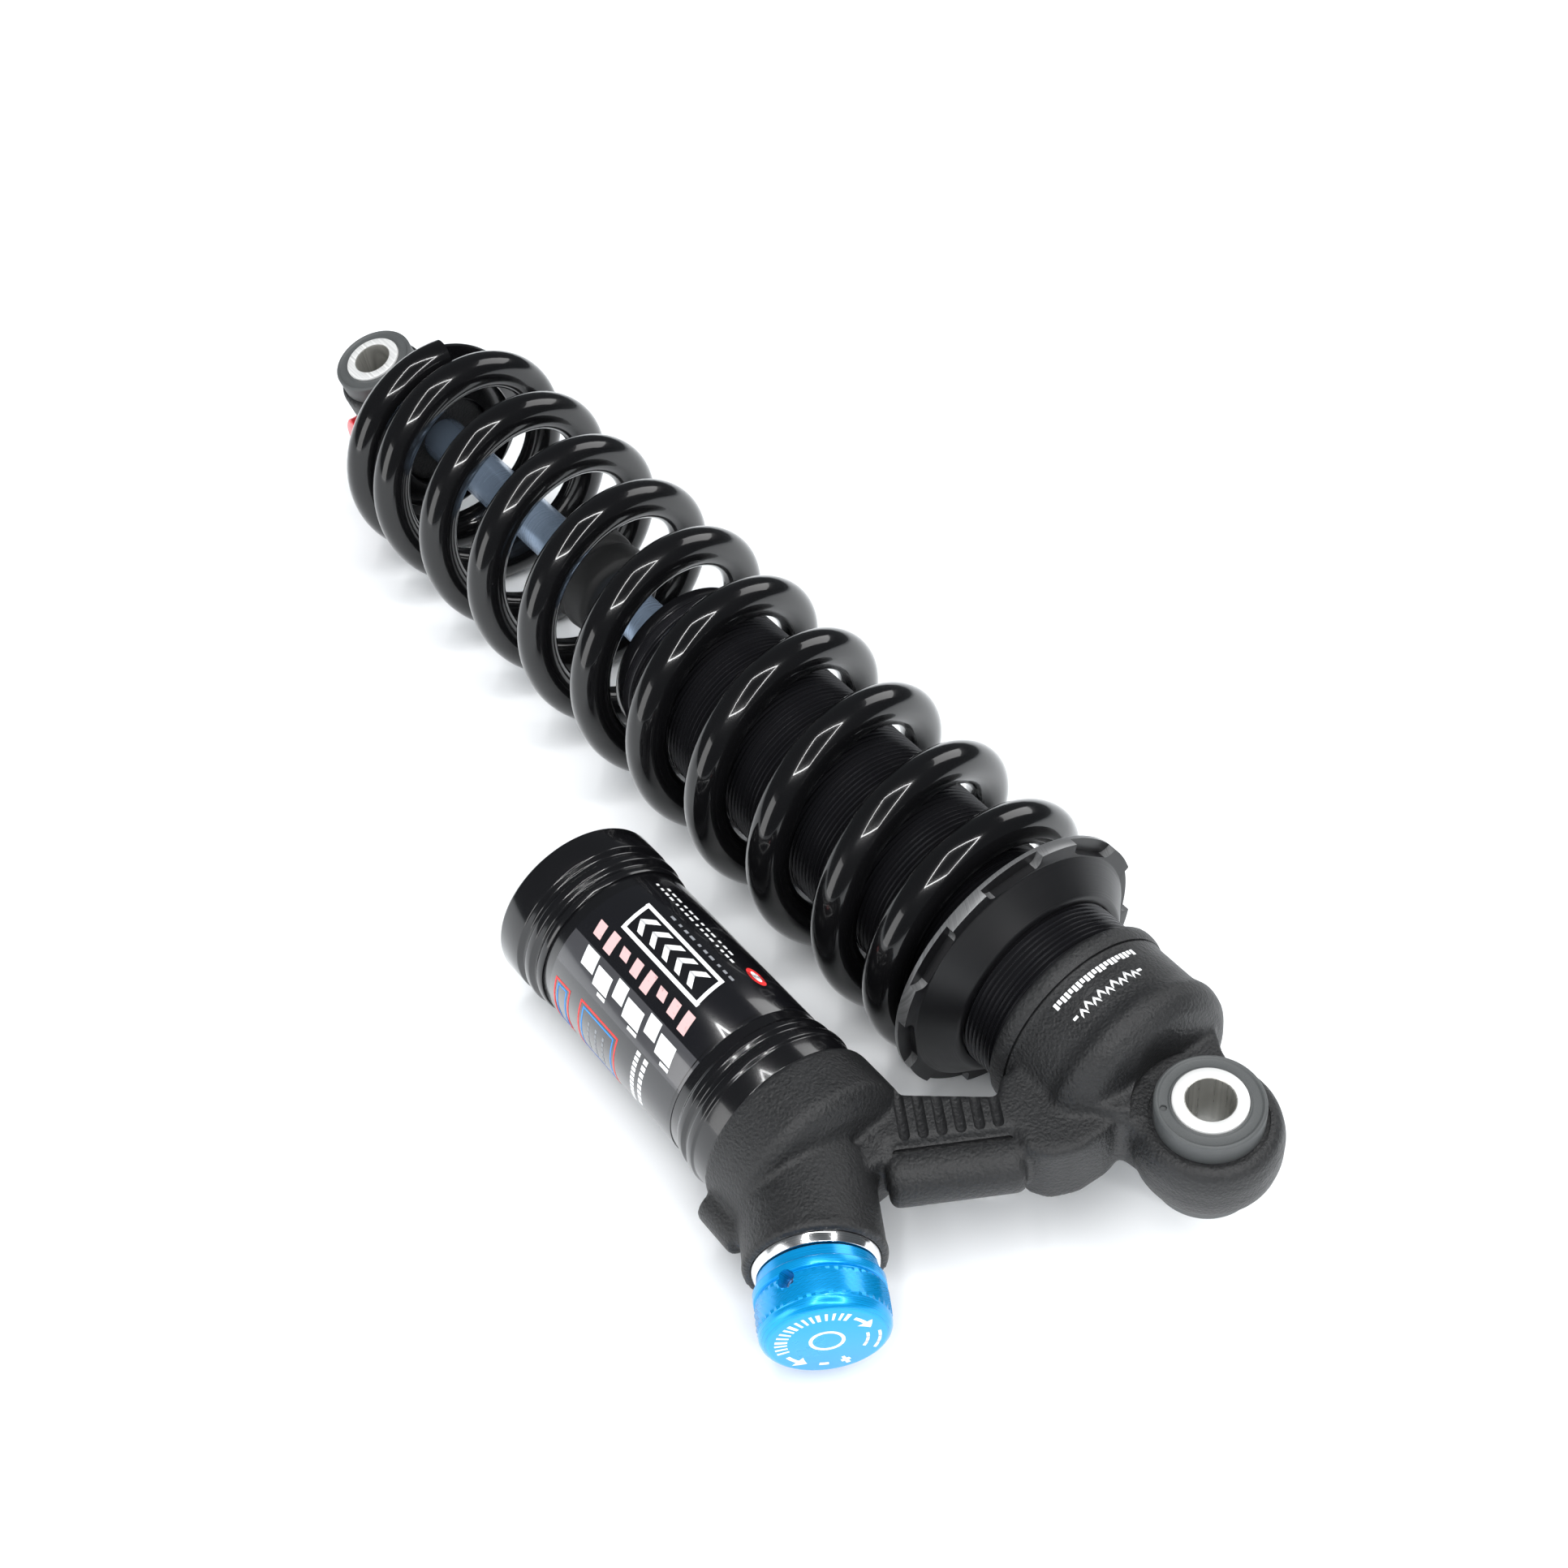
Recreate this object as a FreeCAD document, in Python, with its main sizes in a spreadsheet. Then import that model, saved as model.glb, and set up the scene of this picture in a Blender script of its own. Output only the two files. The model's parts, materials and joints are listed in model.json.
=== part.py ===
import FreeCAD, Part
import math
import os
import Sketcher
from FreeCAD import Placement, Rotation, Vector

# Coil-over rear shock with a piggyback reservoir, modelled fully extended, in millimetres.
# The origin is the centre of the body eye. +X runs along the damper to the shaft eye, +Y points
# at the reservoir and +Z runs along the bore of the body eye.

DIMENSIONS = {
    # whole shock
    "eye_to_eye": 267.0,
    # eyes and mounting hardware
    "bolt_radius": 4.0,
    "hardware_width": 22.2,
    "sleeve_radius": 6.25,
    "bush_radius": 7.6,
    "flange_radius": 9.1,
    "boss_radius": 12.6,
    "shaft_boss_radius": 10.2,
    "boss_half_width": 6.2,
    "running_gap": 0.04,
    # damper body
    "tube_radius": 17.3,
    "tube_bore_radius": 14.5,
    "tube_start": 25.0,
    "tube_end": 146.0,
    "head_end": 33.0,
    "head_rim_radius": 19.1,
    "head_radius": 18.2,
    # shaft
    "shaft_radius": 5.0,
    "rod_radius": 1.9,
    "piston_start": 120.0,
    "retainer_start": 246.4,
    "retainer_radius": 21.6,
    "socket_radius": 11.0,
    "bump_stop_start": 171.5,
    "bump_stop_length": 14.0,
    "bump_stop_radius": 10.4,
    # spring
    "wire_radius": 4.0,
    "coil_mean_radius": 22.0,
    "active_pitch": 19.55,
    "closed_pitch": 7.1,
    "spring_seat": 49.6,
    # preload ring
    "ring_radius": 26.4,
    "ring_start": 41.0,
    # reservoir
    "reservoir_offset": 51.5,
    "reservoir_radius": 15.8,
    "reservoir_bore_radius": 14.2,
    "collar_radius": 17.56,
    "collar_end": 46.3,
    "cap_radius": 16.8,
    "cap_start": 97.5,
    "cap_end": 110.5,
    # compression adjuster
    "housing_radius": 11.9,
    "knob_radius": 10.8,
    "knob_length": 13.3,
}

SHAFT_EYE_TURN = 13.97  # degrees that the shaft eye's bore leans from +Z towards +Y
ADJUSTER_MOUTH = Vector(22.5, 63.7, 0)
ADJUSTER_AXIS = Vector(-0.865, 0.502, 0)
ADJUSTER_POCKET = 12.0
SCREW_TURN = 28.0  # degrees about the adjuster axis from +Z to the set screw
WHOLE_COILS = 9
END_TURN = 310.0  # degrees of closed turn at each end of the spring
FIRST_CREST = 149.7  # degrees about X where the first active turn begins
NOTCHES = 8
REBOUND_FOOT = Vector(256.6, 0, 0)  # point on the shaft that the rebound knob stands over
REBOUND_AXIS = Vector(0, 1, 0)
REBOUND_HEIGHT = 10.6

doc = FreeCAD.newDocument("rear_shock")
sheet = doc.addObject("Spreadsheet::Sheet", "Sizes")
for row, (name, number) in enumerate(DIMENSIONS.items(), start=1):
    sheet.set(f"A{row}", name)
    sheet.set(f"B{row}", str(number))
    sheet.setAlias(f"B{row}", name)
doc.recompute()


class Size:
    """A length with its value and the spreadsheet expression that gives it."""

    def __init__(self, value, text):
        self.value = value
        self.text = text

    def combined(self, sign, other):
        right = other if isinstance(other, Size) else Size(other, repr(float(other)))
        value = {
            "+": self.value + right.value,
            "-": self.value - right.value,
            "*": self.value * right.value,
        }[sign]
        return Size(value, f"({self.text} {sign} {right.text})")

    def __add__(self, other):
        return self.combined("+", other)

    def __sub__(self, other):
        return self.combined("-", other)

    def __mul__(self, other):
        return self.combined("*", other)

    def __neg__(self):
        return self * -1


class Sizes:
    """The driving dimensions by name."""


D = Sizes()
for name in DIMENSIONS:
    setattr(D, name, Size(getattr(sheet, name), f"Sizes.{name}"))
AXIS = Size(0.0, "0")


def number(size):
    return size.value if isinstance(size, Size) else float(size)


def formula(size):
    return size.text if isinstance(size, Size) else repr(float(size))


def along(base, direction):
    """Places a piece turned about its own X axis, with that axis along direction."""
    return Placement(base, Rotation(Vector(1, 0, 0), direction))


def origin_feature(body, role):
    return next(f for f in body.Origin.OriginFeatures if f.Role == role)


def outline(sketch, corners):
    """Draws a closed outline whose corners are bound to the spreadsheet."""
    points = [Vector(number(x), number(y), 0) for x, y in corners]
    for start, end in zip(points, points[1:] + points[:1]):
        sketch.addGeometry(Part.LineSegment(start, end))
    count = len(points)
    for i in range(count):
        sketch.addConstraint(Sketcher.Constraint("Coincident", i, 2, (i + 1) % count, 1))
    for i, corner in enumerate(corners):
        for size, kind, axis in zip(corner, ("DistanceX", "DistanceY"), (-2, -1)):
            if abs(number(size)) < 1e-9:
                sketch.addConstraint(Sketcher.Constraint("PointOnObject", i, 1, axis))
                continue
            index = sketch.addConstraint(Sketcher.Constraint(kind, -1, 1, i, 1, number(size)))
            sketch.setExpression(f"Constraints[{index}]", formula(size))


def sketch_on(body, role, name, corners, offset=0.0):
    sketch = body.newObject("Sketcher::SketchObject", name)
    sketch.AttachmentSupport = (origin_feature(body, role), [""])
    sketch.MapMode = "FlatFace"
    sketch.AttachmentOffset = Placement(Vector(0, 0, offset), Rotation())
    outline(sketch, corners)
    return sketch


def turned(name, profile, place=Placement()):
    """A round piece: its half section, as (x, radius) corners, turned about the X axis."""
    body = doc.addObject("PartDesign::Body", name)
    body.Label = name
    sketch = sketch_on(body, "XY_Plane", f"{name}_section", profile)
    turn = body.newObject("PartDesign::Revolution", f"{name}_turned")
    turn.Profile = sketch
    turn.ReferenceAxis = (sketch, ["H_Axis"])
    turn.Angle = 360.0
    body.Placement = place
    return body


def ring(start, end, inner, outer):
    """Corners of a plain ring's half section."""
    return [(start, inner), (end, inner), (end, outer), (start, outer)]


def drilled(name, body, centre, direction, radius, depth):
    """Takes a round hole out of a piece, which then carries the piece's name."""
    drill = doc.addObject("Part::Cylinder", f"{name}_drill")
    drill.setExpression("Radius", formula(radius))
    drill.setExpression("Height", formula(depth))
    drill.Placement = Placement(centre, Rotation(Vector(0, 0, 1), direction))
    return taken(name, body, drill)


def taken(name, base, tool):
    cut = doc.addObject("Part::Cut", f"{name}_cut")
    base.Label = f"{name}_blank"
    cut.Base = base
    cut.Tool = tool
    cut.Label = name
    return cut


def joined(name, shapes):
    union = doc.addObject("Part::MultiFuse", name)
    union.Shapes = shapes
    union.Refine = True
    union.Label = name
    return union


def rod(name, start, end, radius):
    """A Part cylinder between two points."""
    piece = doc.addObject("Part::Cylinder", name)
    piece.setExpression("Radius", formula(radius))
    piece.Height = (end - start).Length
    piece.Placement = Placement(start, Rotation(Vector(0, 0, 1), end - start))
    return piece


def slab(name, corners, low, high):
    """A flat piece: an outline on the XY plane, padded from one height to another."""
    body = doc.addObject("PartDesign::Body", name)
    sketch = sketch_on(body, "XY_Plane", f"{name}_outline", corners, offset=low)
    pad = body.newObject("PartDesign::Pad", f"{name}_pad")
    pad.Profile = sketch
    pad.Length = high - low
    return body


# ---------------------------------------------------------------- eyes: bushes and sleeves

LEAN = Rotation(Vector(1, 0, 0), -SHAFT_EYE_TURN)
EYES = {
    "body": (Vector(0, 0, 0), Vector(0, 0, 1)),
    "shaft": (Vector(D.eye_to_eye.value, 0, 0), LEAN.multVec(Vector(0, 0, 1))),
}
MIDDLE_GAP = 0.2
FLANGE_TOP = D.hardware_width * 0.5 - 0.35


def eye_hardware(end):
    """Two flanged bushes, pressed in from either side, and the sleeve that turns in them."""
    centre, bore = EYES[end]
    inner = D.sleeve_radius + D.running_gap
    bush = [
        (MIDDLE_GAP, inner),
        (FLANGE_TOP, inner),
        (FLANGE_TOP, D.flange_radius - 0.4),
        (FLANGE_TOP - 0.4, D.flange_radius),
        (D.boss_half_width, D.flange_radius),
        (D.boss_half_width, D.bush_radius),
        (MIDDLE_GAP, D.bush_radius),
    ]
    half = D.hardware_width * 0.5
    sleeve = ring(-half, half, D.bolt_radius, D.sleeve_radius)
    return [
        turned(f"{end}_eye_bush_upper", bush, along(centre, bore)),
        turned(f"{end}_eye_bush_lower", bush, along(centre, -bore)),
        turned(f"{end}_eye_sleeve", sleeve, along(centre, bore)),
    ]


def eye_cut(name, base, end):
    """Takes the bush bore and the spot faces for the bush flanges out of an eye."""
    centre, bore = EYES[end]
    base = drilled(f"{name}_bore", base, centre - bore * 20, bore, D.bush_radius, Size(40.0, "40"))
    face = D.flange_radius + 0.7
    for side, way in (("upper", bore), ("lower", -bore)):
        start = centre + way * D.boss_half_width.value
        base = drilled(f"{name}_{side}_face", base, start, way, face, Size(12.0, "12"))
    return base


# ---------------------------------------------------------------- head forging

DECK = [
    (10, 8),
    (28, 8),
    (28, 20.4),
    (25.4, 23.2),
    (37.8, 37.2),
    (38, 46),
    (28.4, 45.4),
    (16.8, 26.6),
    (14.4, 26.6),
    (11.0, 24.6),
    (8.8, 20),
    (8.4, 14),
]


def head_forging():
    """Body cap, eye, bridge, reservoir collar and adjuster housing in one forging."""
    name = "head_forging"
    cap = turned(
        f"{name}_cap",
        [
            (11.4, AXIS),
            (11.4, 12.0),
            (12.4, 16.0),
            (14.4, D.head_rim_radius - 0.9),
            (17.2, D.head_rim_radius),
            (19.6, D.head_radius),
            (D.head_end - 4, D.head_radius),
            (D.head_end - 2, D.head_rim_radius),
            (D.head_end, D.head_rim_radius),
            (D.head_end, D.tube_radius),
            (D.tube_start, D.tube_radius),
            (D.tube_start, AXIS),
        ],
    )
    collar_axis = Placement(Vector(0, D.reservoir_offset.value, 0), Rotation())
    collar = turned(
        f"{name}_collar",
        [
            (33.6, AXIS),
            (33.6, 12.5),
            (34.6, D.collar_radius - 1.6),
            (36.4, D.collar_radius),
            (D.collar_end, D.collar_radius),
            (D.collar_end, D.reservoir_radius),
            (D.collar_end - 8, D.reservoir_radius),
            (D.collar_end - 8, AXIS),
        ],
        collar_axis,
    )
    half = D.boss_half_width.value
    boss = rod(f"{name}_boss", Vector(0, 0, -half), Vector(0, 0, half), D.boss_radius)
    neck = slab(f"{name}_neck", [(0, -11.5), (14, -11.5), (14, 11.5), (0, 11.5)], -half, half)
    deck = slab(f"{name}_deck", DECK, -8.0, 6.5)
    lug = rod(f"{name}_lug", Vector(35.2, 69.2, -3), Vector(45.2, 69.2, -3), Size(4.0, "4"))
    passage = rod(f"{name}_passage", Vector(15.4, 24.4, -1), Vector(27.6, 44.6, -1), Size(5.2, "5.2"))
    inner_end = ADJUSTER_MOUTH - ADJUSTER_AXIS * 17
    housing = rod(f"{name}_housing", inner_end, ADJUSTER_MOUTH, D.housing_radius)
    solid = joined(f"{name}_solid", [cap, collar, boss, neck, deck, passage, lug, housing])
    eyed = eye_cut(f"{name}_eyed", solid, "body")
    pocketed = drilled(
        f"{name}_pocketed",
        eyed,
        ADJUSTER_MOUTH - ADJUSTER_AXIS * ADJUSTER_POCKET,
        ADJUSTER_AXIS,
        D.housing_radius - 1.3,
        Size(20.0, "20"),
    )
    seat = rod(
        f"{name}_tube_seat",
        Vector(D.tube_start.value, 0, 0),
        Vector(D.head_end.value, 0, 0),
        D.tube_radius,
    )
    collar_bore = rod(
        f"{name}_collar_bore",
        Vector(D.collar_end.value - 8, D.reservoir_offset.value, 0),
        Vector(D.collar_end.value + 1, D.reservoir_offset.value, 0),
        D.reservoir_radius,
    )
    opened = taken(f"{name}_opened", pocketed, seat)
    return [taken(name, opened, collar_bore)]


# ---------------------------------------------------------------- damper body


def damper_body():
    head_face = D.tube_end + 3
    seal_lip = D.tube_end + 6
    gap = D.shaft_radius + D.running_gap
    seal_head = [
        (D.tube_end - 9, D.shaft_radius + 1.6),
        (D.tube_end - 9, D.tube_bore_radius),
        (D.tube_end - 5, D.tube_bore_radius),
        (D.tube_end - 5, D.tube_bore_radius - 1.4),
        (D.tube_end - 3, D.tube_bore_radius - 1.4),
        (D.tube_end - 3, D.tube_bore_radius),
        (D.tube_end, D.tube_bore_radius),
        (D.tube_end, D.tube_radius - 0.6),
        (head_face, D.tube_radius - 0.6),
        (head_face, 12.5),
        (seal_lip, 11.5),
        (seal_lip, 8.2),
        (seal_lip - 3.5, 8.2),
        (seal_lip - 3.5, D.shaft_radius + 1.6),
    ]
    return [
        turned(
            "damper_tube",
            [
                (D.tube_start, D.tube_bore_radius),
                (D.tube_end, D.tube_bore_radius),
                (D.tube_end, D.tube_radius - 0.5),
                (D.tube_end - 0.5, D.tube_radius),
                (D.tube_start, D.tube_radius),
            ],
        ),
        turned("seal_head", seal_head),
        turned(
            "seal_head_oring",
            ring(
                D.tube_end - 4.8,
                D.tube_end - 3.2,
                D.tube_bore_radius - 1.4,
                D.tube_bore_radius,
            ),
        ),
        turned(
            "shaft_bushing",
            ring(D.tube_end - 9, D.tube_end - 1.5, gap, D.shaft_radius + 1.6),
        ),
        turned(
            "shaft_seal",
            ring(D.tube_end - 1.5, seal_lip - 3.5, gap, D.shaft_radius + 1.6),
        ),
        turned(
            "dust_wiper",
            [
                (seal_lip - 3.5, gap),
                (seal_lip + 1, gap),
                (seal_lip + 1, D.shaft_radius + 0.8),
                (seal_lip, 7.6),
                (seal_lip - 0.3, 8.2),
                (seal_lip - 3.5, 8.2),
            ],
        ),
    ]


# ---------------------------------------------------------------- reservoir


def reservoir():
    place = Placement(Vector(0, D.reservoir_offset.value, 0), Rotation())
    bore = D.reservoir_bore_radius
    start = D.collar_end - 8
    cap = [
        (D.cap_start, D.reservoir_radius),
        (D.cap_start, D.cap_radius),
        (D.cap_end - 8.4, D.cap_radius),
        (D.cap_end - 8.1, D.cap_radius - 0.5),
        (D.cap_end - 7.5, D.cap_radius - 0.5),
        (D.cap_end - 7.2, D.cap_radius),
        (D.cap_end - 1.4, D.cap_radius),
        (D.cap_end, D.cap_radius - 1.4),
        (D.cap_end, 6.0),
        (D.cap_end - 6, 6.0),
        (D.cap_end - 6, 2.6),
        (D.cap_start + 1, 2.6),
        (D.cap_start + 1, D.reservoir_radius),
    ]
    plug = ring(D.cap_start - 6, D.cap_start + 1, 2.6, bore)
    pieces = [
        turned(
            "reservoir_tube",
            ring(start, D.cap_start + 1, bore, D.reservoir_radius),
            place,
        ),
        turned(
            "reservoir_label",
            ring(D.collar_end + 11.5, D.cap_start - 2.5, D.reservoir_radius, D.reservoir_radius + 0.12),
            place,
        ),
        turned("reservoir_cap", cap, place),
        turned("reservoir_plug", plug, place),
        turned("reservoir_seal", ring(start, start + 2, bore - 1.6, bore), place),
        turned(
            "floating_piston",
            [
                (start + 13, 3.0),
                (start + 17, 3.0),
                (start + 17, bore - 3),
                (start + 23, bore - 3),
                (start + 23, bore - 0.05),
                (start + 19.5, bore - 0.05),
                (start + 19.5, bore - 1.6),
                (start + 17.5, bore - 1.6),
                (start + 17.5, bore - 0.05),
                (start + 13, bore - 0.05),
            ],
            place,
        ),
        turned("piston_bleed_screw", ring(start + 13, start + 17, 1.0, 3.0), place),
        turned(
            "floating_piston_oring",
            ring(start + 17.6, start + 19.4, bore - 1.6, bore - 0.02),
            place,
        ),
        turned(
            "valve_stem",
            [
                (D.cap_start - 5, 1.4),
                (D.cap_end - 1.6, 1.4),
                (D.cap_end - 1.6, 2.4),
                (D.cap_end - 2.0, 2.6),
                (D.cap_start - 5, 2.6),
            ],
            place,
        ),
        turned("valve_core", ring(D.cap_start - 3, D.cap_end - 3, 0.4, 1.4), place),
        turned(
            "valve_cap",
            [
                (D.cap_end - 5.5, 2.65),
                (D.cap_end - 1.4, 2.65),
                (D.cap_end - 1.4, AXIS),
                (D.cap_end - 0.2, AXIS),
                (D.cap_end - 0.2, 3.8),
                (D.cap_end - 0.7, 4.3),
                (D.cap_end - 5.5, 4.3),
            ],
            place,
        ),
    ]
    return pieces


# ---------------------------------------------------------------- compression adjuster


def compression_adjuster():
    """Pieces turned about the adjuster's axis, with x counted from the housing's mouth."""
    place = along(ADJUSTER_MOUTH, ADJUSTER_AXIS)
    pocket = D.housing_radius - 1.3
    knob = [
        (2.0, 3.2),
        (10.5, 3.2),
        (10.5, AXIS),
        (D.knob_length, AXIS),
        (D.knob_length, D.knob_radius - 1.1),
        (D.knob_length - 1.1, D.knob_radius),
        (8.8, D.knob_radius),
        (8.6, D.knob_radius - 0.25),
        (5.3, D.knob_radius - 0.25),
        (5.1, D.knob_radius),
        (4.2, D.knob_radius),
        (4.0, D.knob_radius - 0.7),
        (2.0, D.knob_radius - 0.9),
    ]
    knob_piece = turned("compression_knob", knob, place)
    screw_side = Rotation(ADJUSTER_AXIS, SCREW_TURN).multVec(Vector(0, 0, 1))
    screw_foot = ADJUSTER_MOUTH + ADJUSTER_AXIS * 6.8
    knob_piece = drilled(
        "compression_knob", knob_piece, screw_foot, screw_side, Size(1.5, "1.5"), Size(12.0, "12")
    )
    screw = turned(
        "knob_set_screw",
        [(3.3, 0.5), (6.5, 0.5), (6.5, 1.0), (7.8, 1.0), (7.8, 1.45), (3.3, 1.45)],
        along(screw_foot, screw_side),
    )
    return [
        knob_piece,
        screw,
        turned(
            "adjuster_bezel",
            [
                (-3.5, 3.6),
                (0.6, 3.6),
                (0.6, 8.6),
                (1.7, 9.4),
                (1.7, 10.1),
                (0.2, pocket),
                (-3.5, pocket),
            ],
            place,
        ),
        turned("compression_valve", ring(-ADJUSTER_POCKET, -3.5, 3.1, pocket), place),
        turned(
            "compression_needle",
            [
                (-11.5, AXIS),
                (-11.5, 0.4),
                (-8.0, 1.6),
                (-8.0, 3.0),
                (10.4, 3.0),
                (10.4, AXIS),
            ],
            place,
        ),
    ]


# ---------------------------------------------------------------- shaft assembly


def shaft_assembly():
    start = D.piston_start
    bore = D.tube_bore_radius
    shaft_end = D.eye_to_eye - 15.5
    pieces = [
        turned(
            "shaft",
            [
                (start - 12, D.rod_radius + 0.1),
                (shaft_end, D.rod_radius + 0.1),
                (shaft_end, D.shaft_radius),
                (start + 14, D.shaft_radius),
                (start + 14, 4.0),
                (start - 12, 4.0),
            ],
        ),
        turned(
            "main_piston",
            [
                (start, 4.0),
                (start + 9, 4.0),
                (start + 9, bore - 0.6),
                (start, bore - 0.6),
            ],
        ),
        turned("piston_band", ring(start + 1.5, start + 7.5, bore - 0.6, bore - 0.05)),
        turned("compression_shims", ring(start - 2, start, 4.0, 10.5)),
        turned("rebound_shims", ring(start + 9, start + 11, 4.0, 9.5)),
        turned("top_out_bumper", ring(start + 11, start + 14, 4.0, 9.0)),
        turned("rebound_rod", ring(start - 8, shaft_end - 2, AXIS, D.rod_radius)),
        turned(
            "spring_retainer",
            [
                (D.retainer_start - 5, D.socket_radius),
                (D.retainer_start + 2, D.socket_radius),
                (D.retainer_start + 2, 13.0),
                (D.retainer_start + 1.6, D.retainer_radius - 0.6),
                (D.retainer_start + 1.2, D.retainer_radius),
                (D.retainer_start, D.retainer_radius),
                (D.retainer_start, D.coil_mean_radius - D.wire_radius - 0.4),
                (D.retainer_start - 5, D.coil_mean_radius - D.wire_radius - 1.4),
            ],
        ),
        turned("retainer_ring", ring(D.retainer_start + 2, D.retainer_start + 3.4, 10.2, 12.4)),
    ]
    nut = doc.addObject("Part::Prism", "piston_nut_blank")
    nut.Polygon = 6
    nut.Circumradius = 7.5
    nut.Height = 5.0
    nut.Placement = Placement(Vector(start.value - 7, 0, 0), Rotation(Vector(0, 0, 1), Vector(1, 0, 0)))
    through = Vector(start.value - 8, 0, 0)
    pieces.append(
        drilled("piston_nut", nut, through, Vector(1, 0, 0), Size(4.0, "4"), Size(10.0, "10"))
    )
    pieces.append(shaft_eye())
    return pieces


def shaft_eye():
    """Eye, rounded neck and the socket that the shaft screws into."""
    name = "shaft_eye"
    centre, bore = EYES["shaft"]
    half = D.boss_half_width.value
    boss = rod(f"{name}_boss", centre - bore * half, centre + bore * half, D.shaft_boss_radius)
    socket = turned(
        f"{name}_socket",
        [
            (D.retainer_start - 3, AXIS),
            (D.retainer_start - 3, D.socket_radius),
            (D.retainer_start + 2, D.socket_radius),
            (D.retainer_start + 2, 10.2),
            (D.retainer_start + 3.4, 10.2),
            (D.retainer_start + 3.4, 12.0),
            (D.retainer_start + 4.6, 10.2),
            (D.eye_to_eye - 8, 9.5),
            (D.eye_to_eye - 8, AXIS),
        ],
    )
    knob_boss = rod(
        f"{name}_knob_boss",
        REBOUND_FOOT,
        REBOUND_FOOT + REBOUND_AXIS * (REBOUND_HEIGHT - 0.3),
        Size(5.0, "5"),
    )
    solid = joined(f"{name}_solid", [boss, socket, knob_boss])
    eyed = eye_cut(f"{name}_eyed", solid, "shaft")
    shaft_end = D.eye_to_eye - 15.5
    shaft_hole = rod(
        f"{name}_shaft_hole",
        Vector(D.retainer_start.value - 7, 0, 0),
        Vector(shaft_end.value, 0, 0),
        D.shaft_radius,
    )
    bored = taken(f"{name}_bored", eyed, shaft_hole)
    screw_hole = REBOUND_FOOT + REBOUND_AXIS * (REBOUND_HEIGHT - 5.3)
    return drilled(name, bored, screw_hole, REBOUND_AXIS, Size(2.1, "2.1"), Size(10.0, "10"))


def rebound_adjuster():
    place = along(REBOUND_FOOT + REBOUND_AXIS * REBOUND_HEIGHT, REBOUND_AXIS)
    knob = [
        (-4.8, AXIS),
        (-4.8, 2.05),
        (0.0, 2.05),
        (0.0, 4.8),
        (0.4, 5.2),
        (4.1, 5.2),
        (4.6, 4.7),
        (4.6, AXIS),
    ]
    return [turned("rebound_knob", knob, place)]


def bump_stop():
    gap = D.shaft_radius + D.running_gap
    start = D.bump_stop_start
    end = start + D.bump_stop_length
    outer = D.bump_stop_radius
    profile = [
        (start, gap),
        (end, gap),
        (end, outer - 0.8),
        (end - 0.8, outer),
        (end - 3.6, outer),
        (end - 4.8, outer - 1.4),
        (end - 6.4, outer - 1.4),
        (end - 7.6, outer),
        (start + 1.2, outer - 0.6),
        (start, outer - 1.8),
    ]
    return [turned("bump_stop", profile)]


# ---------------------------------------------------------------- preload ring


def preload():
    """Castellated ring and the washer that the spring turns on."""
    thread = D.tube_radius + D.running_gap
    washer_start = D.spring_seat - 0.9
    body = turned(
        "preload_ring",
        [
            (D.ring_start, thread),
            (washer_start, thread),
            (washer_start, D.ring_radius),
            (D.ring_start + 5.2, D.ring_radius),
            (D.ring_start + 5.2, D.ring_radius - 2.4),
            (D.ring_start, D.tube_radius + 1.4),
        ],
    )
    floor = D.ring_radius - 2.0
    spread = math.tan(math.radians(13.0))
    notch = sketch_on(
        body,
        "YZ_Plane",
        "preload_ring_notch",
        [
            (floor, -floor * spread),
            (D.ring_radius + 2, -(D.ring_radius + 2) * spread),
            (D.ring_radius + 2, (D.ring_radius + 2) * spread),
            (floor, floor * spread),
        ],
        offset=D.ring_start.value + 5.2,
    )
    doc.recompute()
    whole = body.Shape.Volume
    pocket = body.newObject("PartDesign::Pocket", "preload_ring_pocket")
    pocket.Profile = notch
    pocket.Length = 1.8
    pocket.Reversed = True
    doc.recompute()
    assert pocket.Shape.Volume < whole - 1.0, "the notch cuts nothing"
    pattern = body.newObject("PartDesign::PolarPattern", "preload_ring_notches")
    pattern.Originals = [pocket]
    pattern.Axis = (origin_feature(body, "X_Axis"), [""])
    pattern.Angle = 360.0
    pattern.Occurrences = NOTCHES
    body.Tip = pattern
    washer = turned(
        "preload_washer",
        ring(washer_start + 0.05, D.spring_seat, thread + 0.2, D.ring_radius - 1.4),
    )
    return [body, washer]


# ---------------------------------------------------------------- spring


def coil_path():
    """Right-handed helix with closed turns at both ends, as one smooth curve."""
    seat = D.spring_seat.value + D.wire_radius.value
    first_crest = seat + D.closed_pitch.value * END_TURN / 360
    total = 360 * WHOLE_COILS
    per_turn = 16
    steps = round((total + 2 * END_TURN) / 360 * per_turn)
    points = []
    for i in range(steps + 1):
        turned_by = -END_TURN + (total + 2 * END_TURN) * i / steps
        active = min(max(turned_by, 0.0), total)
        closed = turned_by - active
        x = first_crest + D.active_pitch.value * active / 360 + D.closed_pitch.value * closed / 360
        angle = math.radians(FIRST_CREST + turned_by)
        radius = D.coil_mean_radius.value
        points.append(Vector(x, radius * math.cos(angle), radius * math.sin(angle)))
    curve = Part.BSplineCurve()
    curve.interpolate(points)
    return curve


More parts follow.
